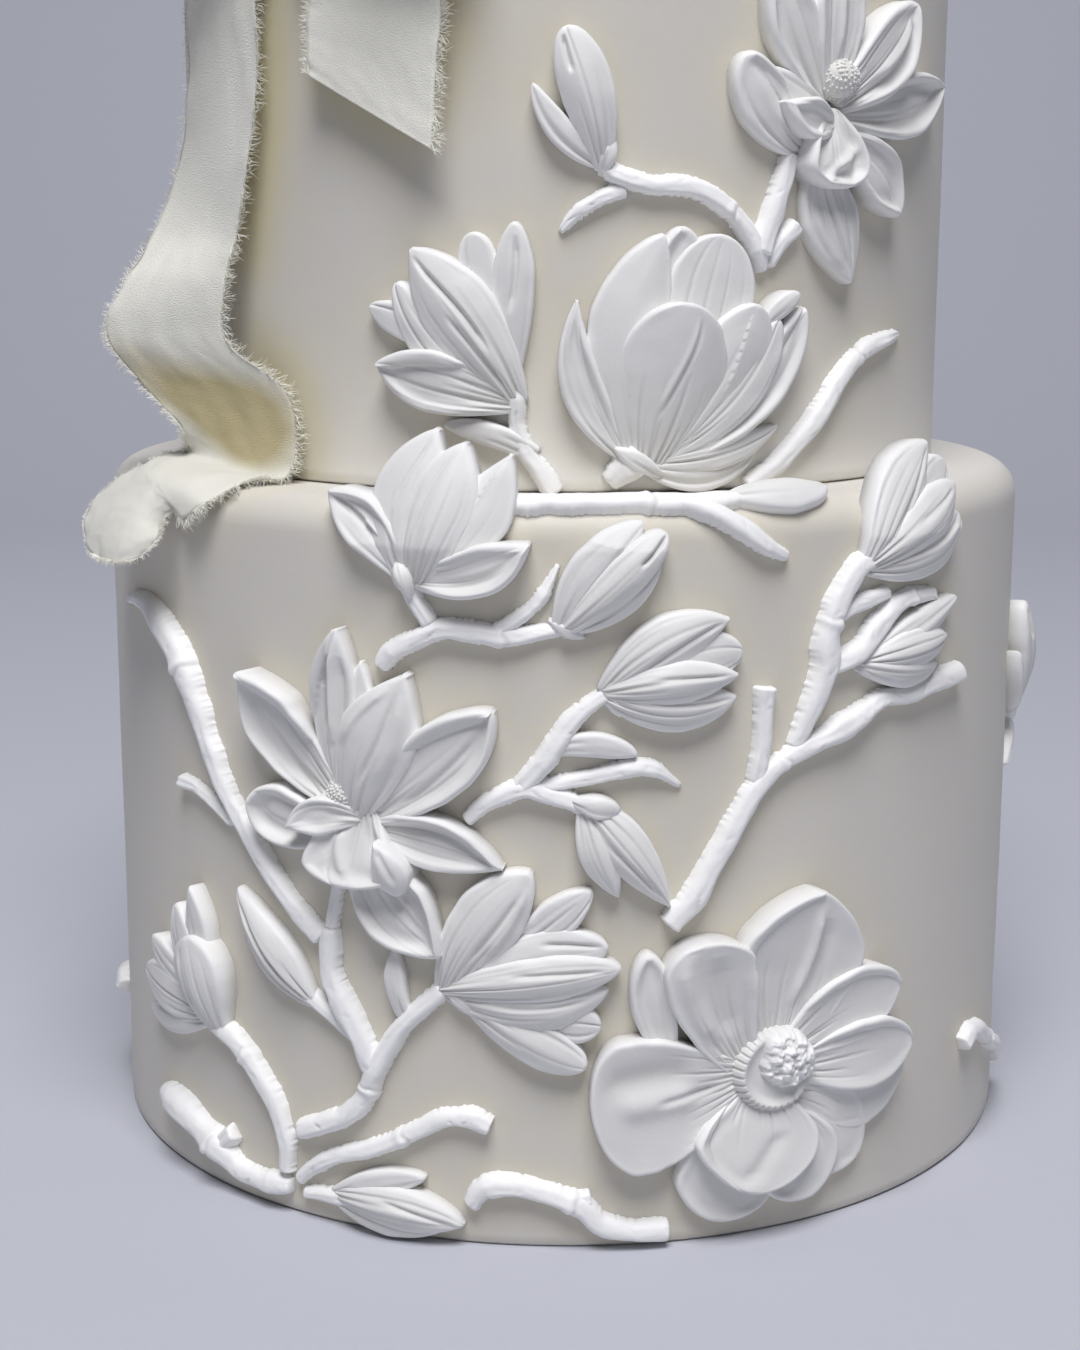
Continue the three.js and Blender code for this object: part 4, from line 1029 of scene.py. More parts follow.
ROSETTE = [
    blade((28, 50), (21.5, 78.5), 11, belly=0.6, bow=-1.5, lift=(2, 4, 4.5), point=0.1, lip=(0.8, 0.6)),
    blade((63, 39), (97.5, 41), 33, belly=0.55, bow=0, lift=(3, 3, 4), cup=0.4, point=0.2, vein=0.9,
          lip=(0.2, 0.0), reach=0.5),
    blade((58, 36), (82, 16), 26, belly=0.55, lift=(3, 3, 3), cup=0.6, point=0.3, lip=(0.2, 0.2)),
    blade((46, 32), (40, 6), 27, belly=0.6, lift=(3, 3.5, 4), cup=0.8, point=0.15, lip=(0.3, 0.3),
          reach=0.5),
    blade((56, 32), (67, 9), 24, belly=0.6, lift=(3, 4, 4.5), cup=0.8, point=0.3, lip=(0.2, 0.4)),
    blade((57, 50), (65, 91), 35, belly=0.62, bow=-0.5, lift=(2.5, 4.2, 8), cup=2.2, point=0.6,
          lip=(0.0, 0.0), fold=("left", 0.35, 1.2, 3.6, 1.0), veins=17, vein=0.9, reach=0.5,
          marks=(ridge((0.3, 0.0), (0.93, 0.1), 1.5, 1.3, 0.06),
                 ridge((0.35, 0.24), (0.85, 0.34), 2.0, -0.8))),
    blade((44, 43), (8, 37.5), 35, belly=0.74, bow=0, lift=(3, 5.0, 7.0), cup=1.6, point=0.0,
          lip=(0.0, 0.0), veins=16, vein=0.8, reach=0.4,
          marks=(ridge((0.15, 0.02), (0.6, 0.0), 1.0, -0.9), ridge((0.3, 0.0), (0.85, 0.04), 3.4, 1.3),
                 ridge((0.3, 0.45), (0.95, 0.4), 4.0, -1.2))),
    blade((47, 47), (35, 81.5), 22.5, belly=0.8, bow=-2.5, lift=(3, 5, 9), cup=2.0, point=0.0,
          lip=(0.0, 0.0), veins=13, vein=1.0, reach=0.6,
          marks=(ridge((0.3, -0.45), (0.95, -0.6), 2.4, 1.6), ridge((0.3, 0.1), (0.9, 0.2), 3.0, -0.8))),
    blade((60, 49), (91, 62), 20, belly=0.6, bow=-2.5, lift=(3, 4.6, 7), cup=1.5, point=0.2,
          lip=(0.0, 0.0), fold=("left", 0.25, 1.2, 2.8, 1.0), veins=9, vein=0.9, reach=0.55),
    blade((63, 44), (95, 46), 19, belly=0.6, bow=0, lift=(3, 5.2, 8), cup=1.7, point=0.1, lip=(0.0, 0.2),
          fold=("left", 0.25, 1.1, 2.6, 0.9), veins=9, vein=0.9, reach=0.55),
    blade((49.5, 38), (47, 14.5), 33, belly=0.5, bow=-1.0, lift=(3, 6, 9), cup=1.6, point=0.35,
          lip=(0.0, 0.5), fold=("right", 0.1, 1.0, 3.4, 1.2), veins=10, vein=0.7, reach=0.5,
          marks=(ridge((0.4, -0.4), (0.9, 0.1), 2.5, -0.8),)),
    boss((54.5, 45), 12, 9),
]

LOW_SPRAY = [
    twig([(-69, 24), (-61, 27.5), (-54, 31.5), (-49, 37), (-46.5, 44), (-43, 50.5), (-38, 58), (-28, 68)],
         [5.4, 6, 6, 5.4, 6.4, 5.6, 5.4, 5]),
    twig([(-47, 44), (-50.5, 53), (-55.5, 62), (-58.5, 69), (-58.5, 80)], [5.4, 6.5, 7, 6, 5]),
    twig([(-47, 49), (-57, 56), (-69, 64)], [3.6, 4.2, 5]),
    blade((-38.5, 61), (-40.5, 78), 5.4, bow=-1, lift=(2, 3.6, 2.4), neck=0.7, point=0.8),
    blade((-65, 61), (-87.5, 86), 12, belly=0.42, bow=-0.6, lift=(3, 6, 3), cup=-2, point=0.6, veins=6,
          vein=0.8, reach=1.1, marks=(ridge((0.2, -0.2), (0.9, 0.0), 0.6, -0.9),)),
    blade((-68, 63), (-85, 79), 6, belly=0.4, bow=-1.6, lift=(2.5, 4.5, 3), point=0.7, veins=3,
          reach=1.1),
    blade((-10, 79), (8, 94.5), 10, lift=(2, 4, 3.4), point=0.4, veins=5, vein=0.9, reach=1.1),
    blade((-3, 61), (10.5, 60), 10, lift=(2, 4, 4), point=0.1, veins=4, vein=0.9, reach=1.1),
    blade((-22, 66), (7, 49.5), 11.5, belly=0.65, bow=1, lift=(3, 5, 4.6), cup=-1, point=0.1, veins=6,
          vein=0.9, reach=1.0),
    blade((-24, 70), (12, 80), 12.5, belly=0.68, bow=-2.5, lift=(3, 5, 4.2), cup=-1, point=0.3, veins=6,
          vein=0.9, reach=1.0, marks=(ridge((0.6, -0.5), (0.97, -0.2), 0.6, -1.0),)),
    blade((-27, 68.5), (-6.5, 99), 17, belly=0.6, bow=-1.8, lift=(3, 6.5, 4.5), cup=-2, point=0.4,
          veins=11, vein=0.8, reach=0.75,
          marks=(ridge((0.3, 0.3), (0.9, 0.35), 0.7, -0.8), ridge((0.4, 0.62), (0.93, 0.5), 1.2, 0.9))),
    blade((-26, 67.5), (12, 69.5), 12, belly=0.62, bow=4, lift=(3, 6, 4), cup=-1.5, point=0.6, veins=8,
          vein=0.9, reach=0.8, marks=(ridge((0.3, -0.2), (0.9, 0.0), 0.6, -0.8),)),
    blade((-27, 68), (15, 75), 11.5, belly=0.62, bow=-1, lift=(3.5, 8, 5), cup=-1.5, point=0.4, veins=8,
          vein=0.9, reach=0.85, marks=(ridge((0.4, -0.4), (0.92, -0.1), 0.6, -0.9),)),
    blade((-27, 69), (-18, 61), 4.4, lift=(2.5, 4.4, 2.5), point=0.9),
]

FAR_LEFT_BUD = [
    twig([(-73.5, 11.4), (-73.5, 19), (-76, 28), (-82, 36.5), (-89, 43), (-98, 46)],
         [4.8, 5, 5.5, 6, 6, 5.4]),
    blade((-103, 46), (-131, 42), 9, bow=-1, lift=(2, 3.6, 3), veins=4, vein=0.9, reach=1.1),
    blade((-103, 49), (-130, 54), 14, lift=(2, 5, 4.6), point=0.5, veins=5, vein=0.9, reach=1.1),
    blade((-105, 53), (-125.5, 64), 9, lift=(2, 5, 4.6), point=0.4, veins=4, vein=0.9, reach=1.1),
    blade((-104, 54), (-112, 76.5), 9.5, lift=(2, 5, 4.4), point=0.2, veins=4, vein=0.9, reach=1.1),
    blade((-102, 56), (-104.5, 83), 9.5, belly=0.55, bow=1, lift=(3, 4.6, 5), point=0.7, veins=3,
          reach=1.1),
    blade((-97, 46), (-103.5, 70), 18, belly=0.62, lift=(3, 8, 7), cup=-2, point=0.05, veins=8, vein=0.8,
          reach=0.9, marks=(ridge((0.3, -0.3), (0.9, -0.35), 0.7, -1.0),)),
]

LOW_LEFT_BRANCH = [
    twig([(-127, 18.5), (-117, 18.5), (-107, 15.5), (-98, 12), (-90, 7.8), (-81, 7.2), (-72, 7.8)],
         [4, 8, 8.5, 7, 8.5, 6, 5.5, 6.5, 4.5]),
    twig([(-98, 12), (-92, 17.5)], (6, 5.4)),
]

LOW_TWIG = [
    twig([(-69.5, 10), (-64, 15.5), (-56, 19.8), (-46, 23.8), (-37, 28.5), (-29, 33.5), (-22, 34.5),
          (-16.5, 32.5)], [3.8, 4.4, 4.8, 5, 5, 5.4, 5.6]),
]

LOW_BUD = [
    twig([(-68, 6.8), (-60, 8), (-52, 8.5)], [3.4, 4.4, 5]),
    blade((-58, 9), (-33, 17.5), 7, bow=-1.2, lift=(2, 4, 3), point=0.3, veins=4, vein=0.8, reach=1.1),
    blade((-57, 7), (-29, 3.8), 7.4, bow=0.5, lift=(2, 4.4, 3), veins=4, vein=0.8, reach=1.1),
    blade((-57, 8.5), (-23, 6), 11.5, belly=0.58, bow=-1.8, lift=(2.5, 6.5, 3.5), cup=-2, point=0.6,
          veins=7, vein=0.8, reach=1.1, marks=(ridge((0.4, -0.4), (0.95, 0.1), 0.6, -0.9),)),
]

LOW_RIGHT_TWIG = [
    twig([(-21.5, 11), (-17.5, 16.5), (-10, 17), (-3, 15.5), (5, 12.3), (11, 7), (19, 5), (28, 4.4)],
         [5, 6.4, 6, 5.4, 6.4, 6, 6, 5.6]),
    twig([(4, 13), (8.5, 14)], (4.6, 4.6)),
]

RIM_TWIG = [
    twig([(-17, 188.8), (-6, 188.8), (3, 189), (18, 189.2), (32, 188.6), (44, 189.5), (52, 190)],
         [6, 6, 6, 6, 6.2, 5.5, 4], lift=0.5),
    twig([(24, 189), (33, 187), (42, 182.5), (50, 177.5), (56, 174.5)], [3, 5.2, 5.4, 5, 2.6], lift=0.7),
    blade((45, 189.5), (71.5, 190.5), 10.5, belly=0.55, lift=(3, 4.4, 3), cup=-1, point=0.2, veins=3,
          reach=0.5),
]

# Sprays on the upper tier

BUD_BRANCH = [
    twig([(8.5, 268), (13, 264.5), (21, 262.3), (30, 262), (38, 258.5), (44, 253.5), (48.5, 247),
          (50, 241.5)], [3.8, 5.4, 5.4, 5.2, 5.4, 5, 5.6, 3.6]),
    twig([(-0.5, 251), (4.5, 256.3), (10, 259.5), (15, 261)], [1.6, 4, 4.2, 4]),
    blade((9, 267.5), (-7, 285.5), 6.6, belly=0.5, bow=-2.4, lift=(2.5, 4.5, 4), point=0.4, veins=3,
          vein=0.9, reach=1.15),
    blade((9, 267.5), (0.5, 298.5), 12.5, belly=0.6, bow=1, lift=(3, 7, 4.5), cup=-2, point=0.0, veins=7,
          vein=0.7, reach=1.0, marks=(ridge((0.68, -0.35), (0.95, -0.4), 0.5, -1.3),)),
    blade((9.5, 266), (12, 273.5), 4, lift=(2.5, 4.4, 3), point=0.8),
]

TOP_MAGNOLIA = [
    blade((60, 272), (43.5, 293.5), 14, belly=0.58, bow=-3, lift=(2.5, 5, 5), cup=-0.6, point=0.1,
          lip=(0.2, 1.2), veins=5, vein=0.8, reach=0.7,
          marks=(step((0.1, 0.35), (0.7, 0.5), 1.6, -1.0),)),
    blade((66, 284), (51, 316), 15, belly=0.55, bow=-2, lift=(3, 4, 4), cup=1.2, point=0.7,
          lip=(1.5, 0.3), vein=0.9, reach=0.9),
    blade((69, 286), (70, 322), 15, belly=0.55, lift=(3, 5, 4), cup=1, point=0.7, vein=0.9, reach=0.9,
          marks=(ridge((0.2, 0.1), (0.95, -0.05), 0.9, 1.0),)),
    blade((74, 280), (119, 289), 16, belly=0.55, bow=2, lift=(3, 4, 4), cup=1.6, point=0.8,
          lip=(1.4, 1.4), vein=0.9, reach=0.85),
    blade((72, 283), (98, 308), 17, belly=0.58, bow=1.5, lift=(4, 6.6, 5), cup=0.6, point=0.6,
          lip=(0.3, 1.5), veins=10, vein=1.0, reach=0.85,
          marks=(ridge((0.3, 0.1), (0.9, 0.2), 1.2, 0.9),)),
    blade((73, 273), (95, 255), 15, belly=0.6, bow=-2, lift=(2, 4, 4), cup=1.4, point=0.7, lip=(1.2, 1.2),
          vein=0.9, reach=0.9),
    blade((66, 267), (76, 238.5), 17.5, belly=0.48, bow=0.5, lift=(2, 5, 4.5), cup=-1.0, point=0.8,
          vein=0.8,
          marks=(ridge((0.2, 0.15), (0.95, 0.1), 0.6, -0.9), ridge((0.2, -0.4), (0.9, -0.25), 0.6, -0.7),
                 ridge((0.35, 0.7), (0.85, 0.6), 1.2, 0.7))),
    blade((66, 281), (47, 290), 8, lift=(3, 5, 5), point=0.5, bow=-1, veins=4, reach=1.0),
    blade((68, 279), (67, 261.5), 18, belly=0.7, lift=(4, 7, 8.5), cup=1.5, point=0, lip=(1.5, 1.5),
          veins=9, vein=1.0, reach=1.0, marks=(ridge((0.45, -0.8), (0.9, 0.5), 1.5, 1.4),)),
    blade((68, 277.5), (52, 282), 10, bow=-1.5, lift=(4, 7.5, 8), point=0.9, cup=1, lip=(1.2, 0.8),
          reach=0.9),
    dome((71, 288), 5.6, 8),
    twig([(58, 270), (54, 259), (49.5, 246)], [4.6, 5.6, 6]),
    twig([(60, 253), (55.5, 249), (52, 243)], [4.8, 4.8, 3.4]),
]

HALF_OPEN = [
    blade((-13, 222), (-21.5, 251), 9.5, belly=0.75, lift=(2, 3.8, 3.4), point=0.0, bow=-0.6, veins=4,
          vein=1.0, reach=0.92),
    blade((-12, 216), (-11, 253.5), 10, belly=0.66, lift=(2.5, 5, 4.4), point=0.3, cup=-1, veins=3,
          vein=0.9, reach=1.1, marks=(ridge((0.45, -0.1), (0.92, 0.1), 0.7, -1.2, 0.12),)),
    blade((-26, 225), (-48, 233), 9, lift=(2, 4, 3.4), point=0.3, veins=3, vein=0.9, reach=1.1),
    blade((-12, 211), (-40, 239), 13.5, bow=-3, lift=(3, 5.4, 4.4), cup=-1, point=0.3, veins=5, vein=1.1,
          reach=1.15),
    blade((-11.5, 211.5), (-36, 247), 18, belly=0.6, bow=1.4, lift=(3, 8, 5), cup=-2, point=0.6, veins=10,
          vein=0.9, reach=0.7,
          marks=(ridge((0.3, 0.15), (0.96, -0.15), 0.65, -1.5, 0.1),
                 ridge((0.1, -0.1), (0.6, -0.25), 0.6, -0.9))),
    blade((-12, 210.5), (-44.5, 219), 15, belly=0.62, bow=0, lift=(3.5, 6, 6), cup=0.6, point=0.6,
          fold=("right", 0.4, 1.15, 4.4, 2.0), lip=(0.7, 0.0), veins=9, vein=1.0, reach=0.9),
    twig([(-11, 218), (-11, 211), (-10.7, 205), (-8.5, 198.5), (-5, 193.5), (-1.5, 188)],
         [3.4, 5.4, 4.4, 5.2, 5.4, 5.6]),
    blade((-8, 198), (-28.5, 204.5), 6, bow=1.6, lift=(2.5, 4, 3), neck=0.7, point=0.3, veins=2,
          reach=0.9),
]

CUP_MAGNOLIA = [
    blade((28, 224), (28.5, 252.5), 14, lift=(2, 3.4, 3.4), point=0.1, lip=(1.0, 0.2)),
    blade((21, 195.5), (50, 199.5), 9, belly=0.5, bow=4.5, lift=(2.5, 4, 2.5), point=0.6, veins=4,
          vein=0.8, reach=1.15),
    blade((22, 196), (55, 204), 8, belly=0.55, bow=2.0, lift=(2.5, 5, 3.4), point=0.8, veins=4, vein=0.9,
          reach=1.15),
    blade((24, 197), (60.5, 233), 11.5, belly=0.62, bow=6, lift=(3, 5.5, 5), cup=0.6, point=0.1, veins=4,
          vein=1.1, reach=1.2, lip=(0.6, 0.9)),
    blade((25, 198), (52.5, 230.5), 10, belly=0.6, bow=4.5, lift=(3, 6.5, 6.5), point=0.1, veins=4,
          vein=1.0, reach=1.2),
    blade((50, 229), (58.8, 236.2), 5, bow=-1.2, lift=(5, 7, 6), point=0.05, veins=2, vein=0.5,
          reach=0.9),
    blade((15, 199), (3.5, 235), 10.5, belly=0.45, bow=-5, lift=(3, 5, 5), cup=0.6, point=0.8, veins=3,
          vein=1.1, reach=1.2, lip=(0.6, 0.9)),
    blade((28, 205), (39, 250.5), 22, belly=0.72, bow=0, lift=(3, 4.5, 4), point=0.05, veins=13, vein=1.0,
          reach=0.82),
    blade((18, 198), (24, 250.5), 19, belly=0.6, bow=-6, lift=(3, 6.5, 4.5), cup=-1.5, point=0.55,
          reach=0.4),
    blade((24, 197), (46, 234), 19, belly=0.65, bow=3, lift=(3, 6, 8), cup=-1.5, point=0.2,
          marks=(step((0.5, 0.1), (0.95, -0.2), 3.0, 0.6),)),
    blade((21, 196), (28.5, 234.5), 27, belly=0.56, bow=0, lift=(3, 8.5, 11.5), cup=-3, point=0.05,
          roof=0.2, veins=15, vein=1.0, reach=0.5,
          marks=(ridge((0.32, -0.06), (0.93, 0.42), 0.5, -0.8),
                 ridge((0.32, -0.13), (0.93, 0.34), 0.7, 0.5))),
    blade((22.5, 193.5), (12.5, 199.5), 4.6, lift=(4, 6.4, 5), point=0.4, veins=2, reach=0.6),
    twig([(19, 198), (15, 194), (11.5, 190.5)], [9, 8, 4.5]),
]

DIAGONAL_TWIG = [
    twig([(47, 189), (56, 194.5), (64, 201.5), (71, 209), (77, 216), (84, 221), (93, 223.7), (103, 225)],
         [4.6, 5.2, 5.6, 5.8, 5.4, 4.8, 4.8, 4.6, 1.2]),
]


# The ribbon: rows of left edge, middle and right edge as azimuth, distance from the axis and height

LONG_TAIL = [
    ((-46, 109.4, 341), (-42.5, 109, 341), (-39.8, 109.4, 341)),
    ((-58, 110, 327), (-49.5, 108.4, 327), (-41, 110, 327)),
    ((-63.5, 110, 309), (-53.8, 108.4, 309), (-44, 110, 309)),
    ((-63.3, 110.5, 288), (-53.5, 109, 288), (-43.8, 110.5, 288)),
    ((-66, 112.3, 268), (-55, 110, 268), (-45.5, 111.5, 268)),
    ((-66, 119, 251), (-56.5, 113, 251), (-47.5, 112.5, 251)),
    ((-64, 128.5, 238), (-56.5, 121, 238), (-48.4, 115.2, 238)),
    ((-64.6, 134, 224), (-57.5, 123.5, 223.5), (-48.6, 114.8, 223)),
    ((-61.6, 126.5, 211), (-52.6, 115.5, 211), (-40.8, 109, 212)),
    ((-57.5, 120, 201), (-49.5, 112.5, 200.5), (-38.2, 109, 200)),
    ((-58, 117.5, 196), (-48, 113.5, 191.8), (-38.3, 112.7, 190)),
    ((-61, 115.5, 193), (-50, 120.5, 191.2), (-39.5, 122, 189.8)),
    ((-64, 119, 191.6), (-52, 128.5, 191.2), (-41.5, 133.5, 184.5)),
    ((-58.5, 127.5, 191), (-51, 134, 190), (-44.8, 134.8, 180)),
    ((-60.3, 135.5, 186.4), (-51, 137.5, 186.2), (-47.2, 134.4, 181.8)),
    ((-62, 140.8, 180.4), (-51.2, 142, 180.8), (-47.8, 136.5, 178.9)),
    ((-61, 144.3, 174.8), (-50.8, 146, 175), (-46.7, 140.5, 174.3)),
    ((-57.5, 146, 169.4), (-50.6, 148, 169.2), (-47.5, 144.3, 170.4)),
]

# Painted shade on the folds of the long tail: place along it, reach, place across it and depth
LONG_TAIL_FOLD_SHADE = (
    (0.545, 0.06, 0.15, 1.0), (0.50, 0.06, 0.5, 0.65), (0.49, 0.05, -0.35, 0.75), (0.44, 0.05, -0.9, 0.45),
)

SHORT_TAIL = [
    ((-37.2, 109.4, 341), (-34, 109, 341), (-30.8, 109.4, 341)),
    ((-38, 110.5, 327), (-28.5, 109.5, 327), (-19.5, 111.5, 327)),
    ((-34, 111.5, 310), (-24.5, 110.5, 309), (-15, 112.5, 308)),
    ((-33.4, 112.5, 298), (-24.3, 112, 292), (-15.2, 114.5, 287)),
    ((-33, 113.5, 288), (-24.2, 113.5, 279), (-15.5, 116, 270)),
]

KNOT_AZIMUTH = -38.0
KNOT_HEIGHT = 350.0
KNOT_OUT = 114.2
KNOT_HALF_SIZE = (7.4, 5.6, 10.5)
WAIST_DEPTH = 0.1
WAIST_WIDTH = 0.35

# The rows of a loop: degrees from the knot, distance from the axis and half the strip's width
LOOP_ROUTE = [
    (4.3, 116, 8), (10, 121.5, 14), (17, 126, 17.5), (24, 126, 18), (28.5, 120.5, 18), (26, 114.2, 17.5),
    (19, 112.9, 16), (12, 112.5, 12), (4.3, 112.5, 7.5),
]
LOOP_DROOP = 0.25
LOOP_RIPPLE = 0.7
CLOTH_COLUMNS = 34
FOLD_SPREAD = 0.8
MEASURING_STEPS = 60
THREAD_GAP = 0.13
THREAD_RADII = (0.045, 0.08)
THREAD_JOINTS = 4
LEFT_EDGE_THREADS = 0.65
END_THREADS = 0.5
LOBE_START = 0.8
LOBE_THREADS = 0.5


def polar(azimuth, radius, height):
    """A point at an azimuth in degrees from the front, a distance from the axis and a height."""
    turn = math.radians(azimuth)
    return Vector((radius * math.sin(turn), -radius * math.cos(turn), height))


def cloth_place(rails, t, u):
    """A spot on the sheet: t runs along its rails and u across them, from -1 to 1."""
    left, middle, right = (spline_place(rail, min(max(t, 0.0), 1.0))[0] for rail in rails)
    return left * (u * (u - 1) / 2) + middle * (1 - u * u) + right * (u * (u + 1) / 2)


def loop_stations(side):
    """The rows of the loop on one side of the knot, going out from it and back."""
    rows = []
    for away, radius, half in LOOP_ROUTE:
        azimuth = KNOT_AZIMUTH + side * away
        height = KNOT_HEIGHT - LOOP_DROOP * away
        row = [(azimuth, radius, height + level) for level in (-half, 0, half)]
        rows.append(tuple(row if side > 0 else reversed(row)))
    return rows


def shape_cloth(mesh_data, rails, ripple, folds):
    """A sheet on three rails, rippled a little, with its own map in millimetres, then made thick."""
    shade = mesh_data.verts.layers.float.new("shade")
    width, length = cloth_size(rails)
    made = bmesh.ops.create_grid(
        mesh_data, x_segments=CLOTH_COLUMNS, y_segments=int(length), size=0.5
    )["verts"]
    flat = {}
    for vert in made:
        u, t = 2 * vert.co.x, vert.co.y + 0.5
        flat[vert] = (vert.co.x * width, t * length)
        spot = cloth_place(rails, t, u)
        side = cloth_place(rails, t, u + 0.02) - cloth_place(rails, t, u - 0.02)
        down = cloth_place(rails, t + 0.004, u) - cloth_place(rails, t - 0.004, u)
        out = side.cross(down).normalized()
        place = flat[vert]
        # Painted shade on the undersides of the given folds
        vert[shade] = sum(deep * math.exp(-(((t - where) / reach) ** 2) - ((u - aside) / FOLD_SPREAD) ** 2)
                          for where, reach, aside, deep in folds)
        soft = noise.noise(Vector((place[0] / 9, place[1] / 16, 3.0)))
        fine = noise.noise(Vector((place[0] / 3.5, place[1] / 5, 9.0)))
        edge = abs(u) ** 6 * noise.noise(Vector((u, place[1] / 7, 17.0)))
        vert.co = spot + out * ripple * (0.55 * soft + 0.14 * fine + 0.7 * edge)
    layer = mesh_data.loops.layers.uv.new("cloth")
    for face in mesh_data.faces:
        face.smooth = True
        for loop in face.loops:
            loop[layer].uv = flat[loop.vert]
    thick = bpy.context.scene.cake_sizes.silk_thickness / MM
    bmesh.ops.recalc_face_normals(mesh_data, faces=mesh_data.faces)
    bmesh.ops.solidify(mesh_data, geom=mesh_data.faces[:], thickness=thick)


def cloth_size(rails):
    """The strip's flat width and length, measured along it."""
    spots = [[cloth_place(rails, k / MEASURING_STEPS, u) for u in (-1, -0.5, 0, 0.5, 1)]
             for k in range(MEASURING_STEPS + 1)]
    wide = max(sum((b - a).length for a, b in zip(row, row[1:])) for row in spots)
    sides = [sum((low[i] - high[i]).length for low, high in zip(spots, spots[1:])) for i in (0, 2, 4)]
    return wide, max(sides)


def shape_fringe(mesh_data, rails, seed, torn_end):
    """Loose threads along the torn edges: fine, close together, each curling its own way."""
    draw = random.Random(seed)
    width, length = cloth_size(rails)
    longest = bpy.context.scene.cake_sizes.fringe_length / MM
    edges = [(lambda part, aside=0.0, side=side: cloth_place(rails, part, side * (1 - aside)), length, share)
             for side, share in ((-1, LEFT_EDGE_THREADS), (1, 1.0))]
    if torn_end:
        edges.append((lambda part, aside=0.0: cloth_place(rails, 1 - 0.08 * aside, 2 * part - 1),
                      width, END_THREADS))
    for place, reach, share in edges:
        count = int(reach / THREAD_GAP)
        for k in range(count):
            part = (k + draw.random()) / count
            out = (place(part) - place(part, 0.1)).normalized()
            along = (place(min(1.0, part + 0.006)) - place(max(0.0, part - 0.006))).normalized()
            up = out.cross(along).normalized()
            tuft = noise.noise(Vector((part * reach / 2.5, 4.0 * seed, 1.0)))
            size = longest * share * (0.72 + 0.3 * tuft) * draw.uniform(0.35, 1.0)
            sway = 1.3 * noise.noise(Vector((part * reach / 6, 9.0, seed))) + draw.uniform(-0.45, 0.45)
            if torn_end and reach == length and part > LOBE_START:
                size *= LOBE_THREADS
            spots = [place(part, 0.02)]
            heading = out + along * 0.4 * sway + up * draw.uniform(-0.15, 0.35)
            for joint in range(THREAD_JOINTS):
                heading = heading + along * (0.35 * sway + draw.uniform(-0.55, 0.55))
                heading = (heading + up * draw.uniform(-0.5, 0.5)).normalized()
                spots.append(spots[-1] + heading * size / THREAD_JOINTS)
            thick = draw.uniform(*THREAD_RADII)
            thread(mesh_data, spots, (thick, thick, thick, 0.85 * thick, 0.4 * thick), up)


def thread(mesh_data, spots, radii, up):
    """A three-sided tapered rod through the spots."""
    rings = []
    last = len(spots) - 1
    for k, (spot, radius) in enumerate(zip(spots, radii)):
        way = (spots[min(last, k + 1)] - spots[max(0, k - 1)]).normalized()
        first = way.cross(up).normalized()
        second = way.cross(first)
        ring = []
        for corner in range(3):
            angle = corner * 2 * math.pi / 3
            aside = first * math.cos(angle) + second * math.sin(angle)
            ring.append(mesh_data.verts.new(spot + aside * radius))
        rings.append(ring)
    for low, high in zip(rings, rings[1:]):
        for corner in range(3):
            beside = (corner + 1) % 3
            mesh_data.faces.new((low[corner], low[beside], high[beside], high[corner]))
    mesh_data.faces.new(tuple(reversed(rings[0])))
    mesh_data.faces.new(tuple(rings[-1]))


def torn_ribbon(name, stations, ripple=1.0, torn_end=False, folds=()):
    """A strip of silk through the stations with loose threads at its edges."""
    rails = [[polar(*row[edge]) for row in stations] for edge in range(3)]
    mesh_data = bmesh.new()
    shape_cloth(mesh_data, rails, ripple, folds)
    area = sum(face.calc_area() for face in mesh_data.faces) / 2 * MM * MM
    cloth = finish_piece(name + "_silk", mesh_data, material_of("silk"), [name])
    fringe_data = bmesh.new()
    shape_fringe(fringe_data, rails, 5, torn_end)
    bmesh.ops.recalc_face_normals(fringe_data, faces=fringe_data.faces)
    fringe = finish_piece(name + "_fringe", fringe_data, material_of("thread"), [])
    return cloth


def shape_knot(mesh_data):
    """The knot: a band of gathered silk, creased where it was pulled tight."""
    made = bmesh.ops.create_uvsphere(mesh_data, u_segments=64, v_segments=40, radius=1)["verts"]
    centre = polar(KNOT_AZIMUTH, KNOT_OUT, KNOT_HEIGHT + 1)
    for vert in made:
        x, y, z = vert.co
        angle = math.atan2(x, -y)
        crease = 0.045 * math.sin(9 * angle + 2.5 * z) + 0.03 * math.sin(15 * angle - 3 * z)
        crease += 0.05 * noise.noise(vert.co * 2.2)
        waist = 1 - WAIST_DEPTH * hump(z, 0, WAIST_WIDTH)
        vert.co = Vector((x * waist, y * waist, z)) * (1 + crease)
        vert.co = Vector(tuple(part * half for part, half in zip(vert.co, KNOT_HALF_SIZE)))
    bmesh.ops.rotate(mesh_data, verts=made, cent=(0, 0, 0),
                     matrix=Matrix.Rotation(math.radians(KNOT_AZIMUTH), 3, "Z"))
    bmesh.ops.translate(mesh_data, verts=made, vec=centre)
    layer = mesh_data.loops.layers.uv.new("cloth")
    for face in mesh_data.faces:
        face.smooth = True
        for loop in face.loops:
            spot = loop.vert.co - centre
            loop[layer].uv = (spot.x + spot.y, spot.z)


# Operators

class CakeTiers(bpy.types.Operator):
    """Spins both tiers with their rolled icing"""

    bl_idname = "cake.add_tiers"
    bl_label = "Add Tiers"

    def execute(self, context):
        sizes = context.scene.cake_sizes
        tier("lower_tier", sizes.lower_radius / MM, 0.0, LOWER_TOP)
        tier("upper_tier", sizes.upper_radius / MM, LOWER_TOP + TIER_GAP, UPPER_TOP)
        return {"FINISHED"}


